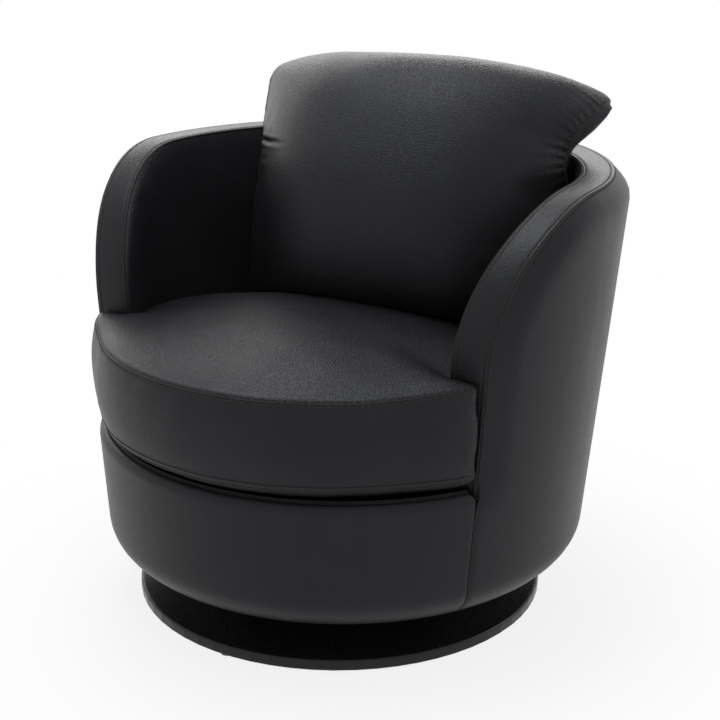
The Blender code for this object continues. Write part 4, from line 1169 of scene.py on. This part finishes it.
# %% The shape of the back pillow
PILLOW_HALF_WIDTH = 0.286
PILLOW_HALF_HEIGHT = 0.200
PILLOW_FRONT_SWELL = 0.140
PILLOW_BACK_SWELL = 0.100
PILLOW_LEAN = math.radians(28.0)
PILLOW_TURN = math.radians(6.0)
PILLOW_SIDE_BACK = 0.050
PILLOW_EAR_BACK = 0.045
PILLOW_LEFT_EAR_DROP = 0.015
PILLOW_RIGHT_EAR_DROP = 0.034
PILLOW_TOP_ARCH = 0.009
PILLOW_CORNER_DROP = 0.022
PILLOW_LEFT_TUCK = 0.009
PILLOW_ROLL = 0.003
PILLOW_RAISE = 0.003
PILLOW_RIGHT_REACH = 0.008
PILLOW_RIGHT_FORWARD = 0.026
PILLOW_RIGHT_INWARD = 0.012
PILLOW_BACK_PUFF = 0.030
PILLOW_TIP_ROUND = 0.002
PILLOW_EDGE_HALF = 0.0042
PILLOW_SIDE_POWER = 2.6
PILLOW_SIDE_SWELL_POWER = 0.92
PILLOW_END_SWELL_POWER = 0.4
PILLOW_EAR_POWER = 6
PILLOW_TIP_POWER = 12
PILLOW_PUFF_FROM = 0.85
PILLOW_COLUMNS = 72
PILLOW_ROWS = 44
PILLOW_CENTRE = Vector((0.011, 0.165, 0.0))


def pillow_point(across, up, face, swell_share=1.0):
    """Across and up run from -1 to 1; face is 1 on the front, -1 behind, 0 at the seam."""
    side = abs(across) ** PILLOW_SIDE_POWER
    swell = PILLOW_FRONT_SWELL if face > 0.0 else PILLOW_BACK_SWELL
    inner = (1.0 - side) ** PILLOW_SIDE_SWELL_POWER
    middle = (1.0 - up * up) ** PILLOW_END_SWELL_POWER
    out = abs(face) * (PILLOW_EDGE_HALF + swell_share * swell * inner * middle)
    ear = side * max(up, 0.0) ** PILLOW_EAR_POWER
    corner = side * max(-up, 0.0) ** 3
    high = up * PILLOW_HALF_HEIGHT
    turned = 1.0 if face > 0.0 else -1.0
    x = across * PILLOW_HALF_WIDTH
    y = high * math.sin(PILLOW_LEAN) - turned * out * math.cos(PILLOW_LEAN)
    y += side * PILLOW_SIDE_BACK * (1.0 - up) + ear * PILLOW_EAR_BACK
    z = high * math.cos(PILLOW_LEAN) + turned * out * math.sin(PILLOW_LEAN)
    z += (1.0 - side) * max(up, 0.0) * PILLOW_TOP_ARCH - corner * PILLOW_CORNER_DROP
    z += PILLOW_ROLL * across * max(up, 0.0)
    if across < 0.0:
        x += side * PILLOW_LEFT_TUCK * (1.0 - smooth_step(0.6, 0.95, up))
        z -= ear * PILLOW_LEFT_EAR_DROP
    else:
        shown = smooth_step(-0.5, 0.45, up) * (1.0 - 0.75 * smooth_step(0.86, 1.0, up))
        beside_seam = smooth_step(0.80, 1.0, across)
        drawn = shown * (1.9 - 0.9 * smooth_step(0.55, 0.95, up)) * beside_seam
        tip = side * side * max(up, 0.0) ** PILLOW_TIP_POWER
        reach = side * PILLOW_RIGHT_REACH * smooth_step(0.3, 0.9, up)
        x += reach - tip * PILLOW_TIP_ROUND
        y -= drawn * PILLOW_RIGHT_FORWARD
        x -= drawn * PILLOW_RIGHT_INWARD * (1.7 - 0.7 * smooth_step(0.45, 0.85, up))
        if face < 0.0:
            beside = max(across - PILLOW_PUFF_FROM, 0.0) / 0.15
            high_up = 0.15 + 0.85 * smooth_step(0.4, 0.7, up)
            puff = shown * high_up * (1.0 - 0.6 * smooth_step(0.88, 1.0, up))
            bow = 2.6 * beside * math.sqrt(max(1.0 - beside, 0.0))
            x += PILLOW_BACK_PUFF * puff * bow
        z -= ear * PILLOW_RIGHT_EAR_DROP
    cosine, sine = math.cos(PILLOW_TURN), math.sin(PILLOW_TURN)
    return PILLOW_CENTRE + Vector((x * cosine - y * sine, x * sine + y * cosine, z))


def pillow_case(swell_share):
    """Loops round the pillow, each up the front and down the back, from left to right."""
    loops = []
    ups = [-math.cos(math.pi * row / PILLOW_ROWS) for row in range(PILLOW_ROWS + 1)]
    for column in range(PILLOW_COLUMNS + 1):
        across = math.sin(0.5 * math.pi * (-1.0 + 2.0 * column / PILLOW_COLUMNS))
        front = [pillow_point(across, up, 1.0, swell_share) for up in ups]
        back = [pillow_point(across, up, -1.0, swell_share) for up in reversed(ups)]
        loops.append(front + back)
    return loops


print("pillow case of", (PILLOW_COLUMNS + 1) * 2 * (PILLOW_ROWS + 1), "points")

# %% [markdown]
# ## Resting and gathering the pillow
#
# The pillow lies against the padding and on the seat cushion, so its points are laid there.
#
# Near the right seam the leather is gathered. Those puckers are short ridges across the seam
# that fade out over a few centimetres. They are moved in code, because a seam gathered by
# simulation would need far finer cloth.

# %% Resting and gathering the pillow
PILLOW_CLEARANCE = 0.002
REST_ON_SEAT = 0.0012
SEAT_REACH_Z = 0.47
OVER_RIM = 0.008
OVER_RIM_SLOPE = 1.5
PUCKER_END = 0.020


def kept_on_seat(points, cushion_tree):
    """Lay the pillow's points against the padding, over the rim and on the cushion."""
    points = points.copy()
    level = np.minimum(points[:, 2], RIM_Z)
    radius = shell_radius(level) - (WALL_THICKNESS + PAD_LEAN + PILLOW_CLEARANCE)
    radius = radius + OVER_RIM_SLOPE * np.maximum(points[:, 2] - RIM_Z - OVER_RIM, 0.0)
    centre = shell_centre_y(points[:, 2])
    out = np.hypot(points[:, 0], points[:, 1] - centre)
    share = np.minimum(1.0, radius / np.maximum(out, 1e-9))
    points[:, 0] *= share
    points[:, 1] = centre + (points[:, 1] - centre) * share
    for index in np.nonzero(points[:, 2] < SEAT_REACH_Z)[0]:
        x, y, z = points[index]
        hit = cushion_tree.ray_cast(Vector((x, y, RIM_Z)), Vector((0.0, 0.0, -1.0)))[0]
        if hit is not None:
            points[index, 2] = max(z, hit.z + REST_ON_SEAT)
    return points


def gathered(mesh, side, ups, spacing, depth, reach):
    """Puckers across a side seam: ridges that start beside it and fade out on the front."""
    points = coordinates(mesh)
    seam = np.array([tuple(pillow_point(side, up, 0.0)) for up in ups])
    inner = np.array([tuple(pillow_point(0.96 * side, up, 1.0)) for up in ups])
    number, away = nearest_on(points, seam)
    inward = np.einsum("ij,ij->i", points - seam[number], (inner - seam)[number])
    in_front = np.clip(inward / 1e-5, 0.0, 1.0)
    steps = np.linalg.norm(np.diff(seam, axis=0), axis=1)
    lengths = np.concatenate([[0.0], np.cumsum(steps)])
    along = lengths[number]
    drift = np.array([noise.noise(Vector((place * 28.0, 0.0, 3.0))) for place in along])
    uneven = np.array([noise.noise(Vector((place * 60.0, 5.0, 0.0))) for place in along])
    wave = np.cos(2.0 * math.pi * along / spacing + 5.0 * drift)
    fade = np.exp(-((away / reach) ** 1.2)) * (1.0 - np.exp(-away / 0.004))
    ends = np.clip(along / PUCKER_END, 0.0, 1.0)
    ends = ends * np.clip((lengths[-1] - along) / PUCKER_END, 0.0, 1.0)
    strength = np.clip(0.55 + 0.9 * uneven, 0.0, 1.2)
    pushed_out(mesh, depth * strength * wave * fade * ends * in_front)


print("puckers end", PUCKER_END * 1000.0, "mm before the ends of a seam")

# %% [markdown]
# ## Back pillow
#
# The case is placed so that its top is as high as the frame's own pillow. After the stuffing
# its tips are rounded off, the seams gathered, and two folds pressed into the left side,
# where the leather bends over the rim. A fold is deepest at the seam and fades out inwards.

# %% Back pillow
PILLOW_VOXEL = 0.0056
FOLD_WIDTH = 0.0034
UPPER_FOLD = (
    (-0.240, 0.155, 0.632), (-0.217, 0.129, 0.6357), (-0.190, 0.107, 0.6403),
    (-0.163, 0.087, 0.6446), (-0.140, 0.075, 0.6466),
)
LOWER_FOLD = ((-0.222, 0.130, 0.608), (-0.200, 0.108, 0.612), (-0.186, 0.098, 0.617))


def fold_path(corners, surface):
    path = []
    for first, last in zip(corners, corners[1:]):
        for step in np.linspace(0.0, 1.0, 8):
            path.append(surface.find_nearest(Vector(first).lerp(Vector(last), step))[0])
    return path


cushion_tree = tree_of(cushion)
seam_ups = np.linspace(-1.0, 1.0, 161)
frame_pillow = frame["nodes"]["back_pillow"]
corners = [frame_pillow.matrix_world @ vertex.co for vertex in frame_pillow.data.vertices]
frame_top = max(corner.z for corner in corners)
crest = [(across, up) for across in np.linspace(-0.9, 0.9, 37) for up in np.linspace(0.5, 1.0, 26)]
highest = max(pillow_point(across, up, 1.0).z for across, up in crest)
PILLOW_CENTRE.z = frame_top - highest + PILLOW_RAISE
left_seam = [pillow_point(-1.0, up, 0.0) for up in seam_ups]
right_seam = [pillow_point(1.0, up, 0.0) for up in seam_ups]
pillow = loft("back_pillow_leather", pillow_case(0.95 if simulate else 1.0))
if simulate:
    seams = [left_seam, right_seam]
    tips = [[pillow_point(1.0, 1.0, 0.0)], [pillow_point(-1.0, 1.0, 0.0)]]
    remeshed(pillow, PILLOW_VOXEL)
    softened(pillow.data, np.ones(len(pillow.data.vertices)), 3)
    softened(pillow.data, 1.0 - clear_of(pillow.data, tips, 0.030), 12)
    stuffed(pillow, seams, pressure=3.0, cap=0.022, slack=0.006)
    softened(pillow.data, clear_of(pillow.data, seams, 0.012), 6)
    softened(pillow.data, 1.0 - clear_of(pillow.data, tips, 0.024), 16)
    set_coordinates(pillow.data, kept_on_seat(coordinates(pillow.data), cushion_tree))
    subdivided(pillow)
    unevened(pillow.data, size=0.090, depth=0.0022)
    gathered(pillow.data, 1.0, seam_ups[84:154], spacing=0.0115, depth=0.0022, reach=0.024)
    gathered(pillow.data, -1.0, seam_ups[70:158], spacing=0.014, depth=0.0008, reach=0.014)
    for fold, depth in ((UPPER_FOLD, 0.0034), (LOWER_FOLD, 0.0010)):
        path = fold_path(fold, tree_of(pillow))
        pressed_in(pillow.data, path, depth, FOLD_WIDTH, ridge=0.45 * depth, fading=True)
    softened(pillow.data, 1.0 - clear_of(pillow.data, tips, 0.018), 36)
set_coordinates(pillow.data, kept_on_seat(coordinates(pillow.data), cushion_tree))
finish_piece(pillow, leather, "pillow", "leather", "back_pillow")
spots = coordinates(pillow.data)
print("pillow from", spots.min(axis=0).round(3), "to", spots.max(axis=0).round(3))

# %% [markdown]
# ## Tools for seams and stitches
#
# Seams and stitches follow long paths and repeat hundreds of times, so Geometry Nodes make
# them. A path is a chain of edges laid on the leather. One tree turns it into a thin tube: a
# near-black line of painted shade in a seam or a stitch groove, or the turned edge of the
# hide. The other sets a stitch every few millimetres along it, each tilted a hair by a fixed
# random seed.
#
# The result is turned into a plain mesh at once, one for each body and kind.

# %% Tools for seams and stitches
STITCH_PITCH = 0.006
STITCH_HALF_LENGTH = 0.0022
STITCH_HALF_THICKNESS = 0.00075
STITCH_TILT = 0.12
STITCH_SEED = 7
# Radius of the near-black tube under the stitches: painted shade of their groove.
GROOVE_SHADE_RADIUS = 0.0008
TUBE_STEP = 0.004
TUBE_SIDES = 6


def path_tree(name, kinds):
    """A tree with named inputs that lays even points along a chain of edges."""
    tree = bpy.data.node_groups.new(name, "GeometryNodeTree")
    tree.interface.new_socket(name="Geometry", in_out="INPUT", socket_type="NodeSocketGeometry")
    for title, kind in (*kinds, ("Material", "NodeSocketMaterial")):
        tree.interface.new_socket(name=title, in_out="INPUT", socket_type=kind)
    tree.interface.new_socket(name="Geometry", in_out="OUTPUT", socket_type="NodeSocketGeometry")
    net = Net(tree)
    entry = net.node("NodeGroupInput")
    chain = net.node("GeometryNodeMeshToCurve", None, {"Mesh": entry["Geometry"]})["Curve"]
    sockets = {"Curve": chain, "Length": entry["Pitch"]}
    even = net.node("GeometryNodeResampleCurve", {"mode": "LENGTH"}, sockets)["Curve"]
    return tree, net, entry, even


def end_geometry(net, entry, made):
    real = net.node("GeometryNodeRealizeInstances", None, {"Geometry": made})["Geometry"]
    sockets = {"Geometry": real, "Material": entry["Material"]}
    dressed = net.node("GeometryNodeSetMaterial", None, sockets)["Geometry"]
    net.node("NodeGroupOutput", None, {"Geometry": dressed})


def seam_line_tree():
    kinds = (("Pitch", "NodeSocketFloat"), ("Radius", "NodeSocketFloat"))
    tree, net, entry, even = path_tree("seam_line", kinds)
    ring_sockets = {"Resolution": TUBE_SIDES, "Radius": entry["Radius"]}
    ring = net.node("GeometryNodeCurvePrimitiveCircle", None, ring_sockets)["Curve"]
    tube_sockets = {"Curve": even, "Profile Curve": ring, "Fill Caps": True}
    end_geometry(net, entry, net.node("GeometryNodeCurveToMesh", None, tube_sockets)["Mesh"])
    return tree


def stitch_tree():
    kinds = (
        ("Pitch", "NodeSocketFloat"),
        ("Half Length", "NodeSocketFloat"),
        ("Half Thickness", "NodeSocketFloat"),
        ("Seed", "NodeSocketInt"),
    )
    tree, net, entry, even = path_tree("stitches", kinds)
    ball_sockets = {"Segments": 6, "Rings": 5, "Radius": 1.0}
    ball = net.node("GeometryNodeMeshUVSphere", None, ball_sockets)["Mesh"]
    thick = entry["Half Thickness"]
    size_sockets = {"X": entry["Half Length"], "Y": thick, "Z": thick}
    size = net.node("ShaderNodeCombineXYZ", None, size_sockets)["Vector"]
    stitch = net.node("GeometryNodeTransform", None, {"Geometry": ball, "Scale": size})["Geometry"]
    tangent = net.node("GeometryNodeInputTangent")["Tangent"]
    to_path = net.node("FunctionNodeAlignRotationToVector", {"axis": "X"}, {"Vector": tangent})
    tilt = net.node(
        "FunctionNodeRandomValue",
        {"data_type": "FLOAT_VECTOR"},
        {
            0: (0.0, -STITCH_TILT, -STITCH_TILT),
            1: (0.0, STITCH_TILT, STITCH_TILT),
            "Seed": entry["Seed"],
        },
    )["Value"]
    turn_sockets = {"Rotation": to_path["Rotation"], "Rotate By": tilt}
    turned = net.node("FunctionNodeRotateRotation", {"rotation_space": "LOCAL"}, turn_sockets)
    row_sockets = {"Points": even, "Instance": stitch, "Rotation": turned["Rotation"]}
    row = net.node("GeometryNodeInstanceOnPoints", None, row_sockets)["Instances"]
    end_geometry(net, entry, row)
    return tree


line_nodes = seam_line_tree()
stitch_nodes = stitch_tree()


def chains(name, paths):
    """A piece of bare edges, one chain for each path; a closed path comes with True."""
    vertices = []
    edges = []
    for path, closed in paths:
        start = len(vertices)
        vertices += [tuple(place) for place in path]
        edges += [(start + step, start + step + 1) for step in range(len(path) - 1)]
        if closed:
            edges.append((len(vertices) - 1, start))
    mesh = bpy.data.meshes.new(name)
    mesh.from_pydata(vertices, edges, [])
    made = bpy.data.objects.new(name, mesh)
    chair_scene.collection.objects.link(made)
    return made


def along_paths(name, paths, tree, material, body, **values):
    """Run a tree along the paths, and keep what it makes as a plain mesh on a body."""
    piece = chains(name, paths)
    runner = piece.modifiers.new("runner", "NODES")
    runner.node_group = tree
    values["Material"] = material
    for socket in tree.interface.items_tree:
        title = socket.name.replace(" ", "_")
        if socket.in_out == "INPUT" and title in values:
            runner[socket.identifier] = values[title]
    applied(piece)
    finish_piece(piece, material, body, "leather")


def seam_tubes(name, paths, radius, material, body):
    along_paths(name, paths, line_nodes, material, body, Pitch=TUBE_STEP, Radius=radius)


def stitch_rows(name, paths, body):
    """A row of stitches along every path, over a near-black tube of painted shade for the shallow
    groove that they pull.
    """
    seam_tubes(f"{name}_stitch_grooves", paths, GROOVE_SHADE_RADIUS, seam_shadow, body)
    sizes = {"Half_Length": STITCH_HALF_LENGTH, "Half_Thickness": STITCH_HALF_THICKNESS}
    sizes |= {"Pitch": STITCH_PITCH, "Seed": STITCH_SEED}
    along_paths(f"{name}_stitches", paths, stitch_nodes, thread, body, **sizes)


print("trees:", line_nodes.name, "and", stitch_nodes.name)

# %% [markdown]
# ## Seams of the body
#
# Both seams of the rim band run from the front of one arm round the back to the other, with
# a row of stitches beside each. Upright seams part the three outer panels and the front one.
# Along the top of the front panel a narrow welt stands in the seam to the deck.

# %% Seams of the body
RIM_LINE_DEPTH = 0.0020
RIM_LINE_RADIUS = 0.0012
WELT_RADIUS = 0.0014
SEAM_SIDE = 0.0004


def rim_path(across, depth):
    right = [rim_point(cut, across, depth, 1.0) for cut in band_side_cuts]
    behind = [rim_point(cut, across, depth, 1.0) for cut in band_back_cuts]
    left = [rim_point(cut, across, depth, -1.0) for cut in reversed(band_side_cuts)]
    return right + behind + left


def upright_path(cut, side, top_z):
    face = [(inset, z) for inset, z in cover_face(cut, SEAM_DIP - 0.0005) if z <= top_z]
    return [wall_point(cut, inset, z, side) for inset, z in face]


# Near-black tubes in the rim seams, the welt's seam and the upright seams: painted shade of the
# seams' gaps.
dark_lines = [(rim_path(-SEAM_SIDE, RIM_LINE_DEPTH), False)]
dark_lines.append((rim_path(BAND_WIDTH + SEAM_SIDE, 0.6 * RIM_LINE_DEPTH), False))
shares = np.linspace(-0.995, 0.995, 90)
front_line = [front_point(share, FRONT_WELT_INSET, DECK_TOP_Z - 0.0016) for share in shares]
dark_lines.append((front_line, False))
for side in (-1.0, 1.0):
    dark_lines.append((upright_path(side_cuts[0], side, 0.262), False))
    dark_lines.append((upright_path(side_cuts[-1], side, RIM_Z - 0.004), False))
seam_tubes("body_seam_lines", dark_lines, RIM_LINE_RADIUS, seam_shadow, "body")
welt = [front_point(share, FRONT_WELT_INSET + 0.0020, DECK_TOP_Z + 0.0004) for share in shares]
seam_tubes("front_welt", [(welt, False)], WELT_RADIUS, leather, "body")
rows_across = (OUTER_STITCHES_IN, BAND_WIDTH - INNER_STITCHES_IN)
rim_rows = [(rim_path(across, band_depth(across)), False) for across in rows_across]
stitch_rows("body", rim_rows, "body")

# %% [markdown]
# ## Seams of the seat cushion and of the pillow
#
# These lie on the stuffed leather, so their paths are snapped to it: each point goes to the
# nearest place of the surface, or to one a few millimetres to a side. The hide's edge turns
# out in a small lip on the seam, a near-black line of painted shade lies under it, and the
# stitches run beside over their own painted shade.

# %% Seams of the seat cushion and of the pillow
LIP_RADIUS = 0.0014
PILLOW_LIP_RADIUS = 0.0013
SOFT_LINE_RADIUS = 0.0009
SUNK = -0.0001
RAISED = 0.0002


def snapped(path, tree, lift):
    """The path laid on a surface and lifted off it a little."""
    places = []
    for place in path:
        hit, normal = tree.find_nearest(place)[:2]
        places.append(hit + normal * lift)
    return places


def to_the_front(side, distance):
    """The path beside a side seam of the pillow, on its front panel."""
    places = []
    for up in seam_ups[8:-8]:
        seam = pillow_point(side, up, 0.0)
        way = pillow_point(0.97 * side, up, 1.0) - seam
        places.append(seam + way.normalized() * distance)
    return places


def on_cushion(path, drop, lift):
    return snapped([place - Vector((0.0, 0.0, drop)) for place in path], cushion_tree, lift), True


def on_pillow(paths, lift):
    return [(snapped(path, pillow_tree, lift), False) for path in paths]


# Near-black tubes in the cushion's seams: painted shade of the seams' gaps.
cushion_lines = [on_cushion(upper_path, 0.0015, SUNK), on_cushion(lower_path, 0.0, SUNK)]
seam_tubes("cushion_seam_lines", cushion_lines, SOFT_LINE_RADIUS, seam_shadow, "cushion")
seam_tubes("cushion_lip", [on_cushion(upper_path, 0.0, RAISED)], LIP_RADIUS, leather, "cushion")
cushion_rows = [on_cushion(upper_path, 0.0042, RAISED), on_cushion(lower_path, -0.0075, RAISED)]
stitch_rows("cushion", cushion_rows, "cushion")

pillow_tree = tree_of(pillow)
# Near-black tubes beside the pillow's side seams: painted shade of the seams' gaps.
pillow_lines = on_pillow([to_the_front(side, 0.0014) for side in (-1.0, 1.0)], SUNK)
seam_tubes("pillow_seam_lines", pillow_lines, SOFT_LINE_RADIUS, seam_shadow, "pillow")
lips = on_pillow([seam[8:-14] for seam in (left_seam, right_seam)], 0.0003)
seam_tubes("pillow_lip", lips, PILLOW_LIP_RADIUS, leather, "pillow")
pillow_rows = on_pillow([to_the_front(side, 0.0050) for side in (-1.0, 1.0)], RAISED)
stitch_rows("pillow", pillow_rows, "pillow")

# %% [markdown]
# ## Finishes of the frame's own parts
#
# The parts that stay as they are in the frame get the finishes from above, by their slot.

# %% Finishes of the frame's own parts
finish_of_slot = {
    "base": powder_coat,
    "nylon": nylon,
    "block": stained_board,
    "steel": zinc,
    "plywood": plywood,
    "webbing": webbing_cloth,
    "lining": lining_cloth,
    "leather": leather,
    "zip": zip_nylon,
}
dressed = 0
for row in frame["record"]["subparts"]:
    node = frame["nodes"][row["node"]]
    for slot in node.material_slots:
        slot.material = finish_of_slot[row["material_slot"]]
        dressed += 1
print("frame parts dressed:", dressed)

# %% [markdown]
# ## Floor and room
#
# The chair stands on a white studio floor. Black leather is mostly seen by what it reflects,
# so the white room matters more than the lamps: it gives the pale edges. Away from the chair
# the floor turns into the same plain white as the room, so that no horizon shows.

# %% Floor and room
FLOOR_WHITE = 0.93
FLOOR_NEAR = 0.36
FLOOR_FAR = 0.85
FLOOR_SHADOWLESS = 0.84
ROOM_LIGHT = 0.45
FLOOR_HALF = 9.0
WHITE = (1.0, 1.0, 1.0, 1.0)


def white_floor():
    material, net = new_material("white_floor", (0.9, 0.9, 0.9))
    place = net.node("ShaderNodeTexCoord")["Object"]
    radius = net.node("ShaderNodeVectorMath", {"operation": "LENGTH"}, {0: place})["Value"]
    far_sockets = {"Value": radius, "From Min": FLOOR_NEAR, "From Max": FLOOR_FAR}
    far_sockets["To Min"] = FLOOR_SHADOWLESS
    settings = {"interpolation_type": "SMOOTHSTEP"}
    far = net.node("ShaderNodeMapRange", settings, far_sockets)["Result"]
    near_sockets = {"Roughness": 0.8, "Specular IOR Level": 0.1}
    near_sockets["Base Color"] = (FLOOR_WHITE, FLOOR_WHITE, FLOOR_WHITE, 1.0)
    near = net.node("ShaderNodeBsdfPrincipled", None, near_sockets)["BSDF"]
    plain = net.node("ShaderNodeEmission", None, {"Color": WHITE, "Strength": 1.0})["Emission"]
    end_material(net, net.node("ShaderNodeMixShader", None, {0: far, 1: near, 2: plain})["Shader"])
    signs = ((-1.0, -1.0), (1.0, -1.0), (1.0, 1.0), (-1.0, 1.0))
    corners = [(FLOOR_HALF * x, FLOOR_HALF * y, 0.0) for x, y in signs]
    floor = new_piece("studio_floor", corners, [(0, 1, 2, 3)])
    floor.data.materials.append(material)


def studio_world():
    """A white room, which lights plain surfaces a little less than it shows."""
    world = bpy.data.worlds.new("studio_room")
    chair_scene.world = world
    world.use_nodes = True
    world.node_tree.nodes.clear()
    net = Net(world.node_tree)
    path = net.node("ShaderNodeLightPath")
    seen = path["Is Camera Ray"] + path["Is Glossy Ray"] + path["Is Transmission Ray"]
    strength = seen.maths("MAXIMUM", seen, ROOM_LIGHT)
    light = net.node("ShaderNodeBackground", None, {"Color": WHITE, "Strength": strength})
    net.node("ShaderNodeOutputWorld", None, {"Surface": light["Background"]})


white_floor()
studio_world()
print("room light", ROOM_LIGHT)

# %% [markdown]
# ## Lamps
#
# Four soft boxes stand behind, above and beside the chair. They add the sheen on the seat
# cushion and on the pillow's top, and soft pale edges on both sides of the tub.

# %% Lamps
SOFT_BOXES = {
    "box_behind_low": ((-1.25, 2.0, 1.6), (0.0, 0.0, 0.45), 2.2, 0.9, 22.0),
    "box_above": ((-0.4, 0.0, 2.6), (0.0, 0.0, 0.5), 1.4, 1.4, 30.0),
    "box_behind_right": ((1.9, 1.5, 1.0), (0.2, 0.1, 0.4), 0.8, 1.8, 6.0),
    "box_behind_left": ((-2.1, 0.9, 1.2), (-0.1, 0.0, 0.4), 0.9, 1.8, 6.0),
}


def soft_box(name, place, aim, width, height, power):
    lamp = bpy.data.lights.new(name, "AREA")
    lamp.shape = "RECTANGLE"
    lamp.size = width
    lamp.size_y = height
    lamp.energy = power
    holder = bpy.data.objects.new(name, lamp)
    holder.location = place
    towards_aim = Vector(aim) - Vector(place)
    holder.rotation_euler = towards_aim.to_track_quat("-Z", "Y").to_euler()
    chair_scene.collection.objects.link(holder)


for box_name, box in SOFT_BOXES.items():
    soft_box(box_name, *box)
print("soft boxes:", len(SOFT_BOXES))

# %% [markdown]
# ## Camera
#
# The camera stands where the photograph was taken from: its turn, height, distance and lens
# were fitted to the outlines in the photograph.

# %% Camera
CAMERA_AZIMUTH = math.radians(32.0)
CAMERA_ELEVATION = math.radians(18.45)
CAMERA_DISTANCE = 2.35
CAMERA_SIDE_SHIFT = 0.0309
CAMERA_AIM_HEIGHT = 0.3506
FOCAL_PIXELS = 1586.0
FRAME_PIXELS = 720.0
SENSOR_WIDTH = 36.0

across_view = Vector((math.cos(CAMERA_AZIMUTH), math.sin(CAMERA_AZIMUTH), 0.0))
flat = math.cos(CAMERA_ELEVATION)
towards = Vector(
    (
        math.sin(CAMERA_AZIMUTH) * flat,
        -math.cos(CAMERA_AZIMUTH) * flat,
        math.sin(CAMERA_ELEVATION),
    )
)
camera_data = bpy.data.cameras.new("photo_camera")
camera_data.sensor_width = SENSOR_WIDTH
camera_data.lens = SENSOR_WIDTH * FOCAL_PIXELS / FRAME_PIXELS
camera = bpy.data.objects.new("photo_camera", camera_data)
aim = across_view * CAMERA_SIDE_SHIFT + Vector((0.0, 0.0, CAMERA_AIM_HEIGHT))
camera.location = aim + towards * CAMERA_DISTANCE
camera.rotation_euler = (-towards).to_track_quat("-Z", "Y").to_euler()
chair_scene.collection.objects.link(camera)
chair_scene.camera = camera
chair_scene.view_settings.view_transform = "Standard"
print("camera lens", round(camera_data.lens, 2), "mm")
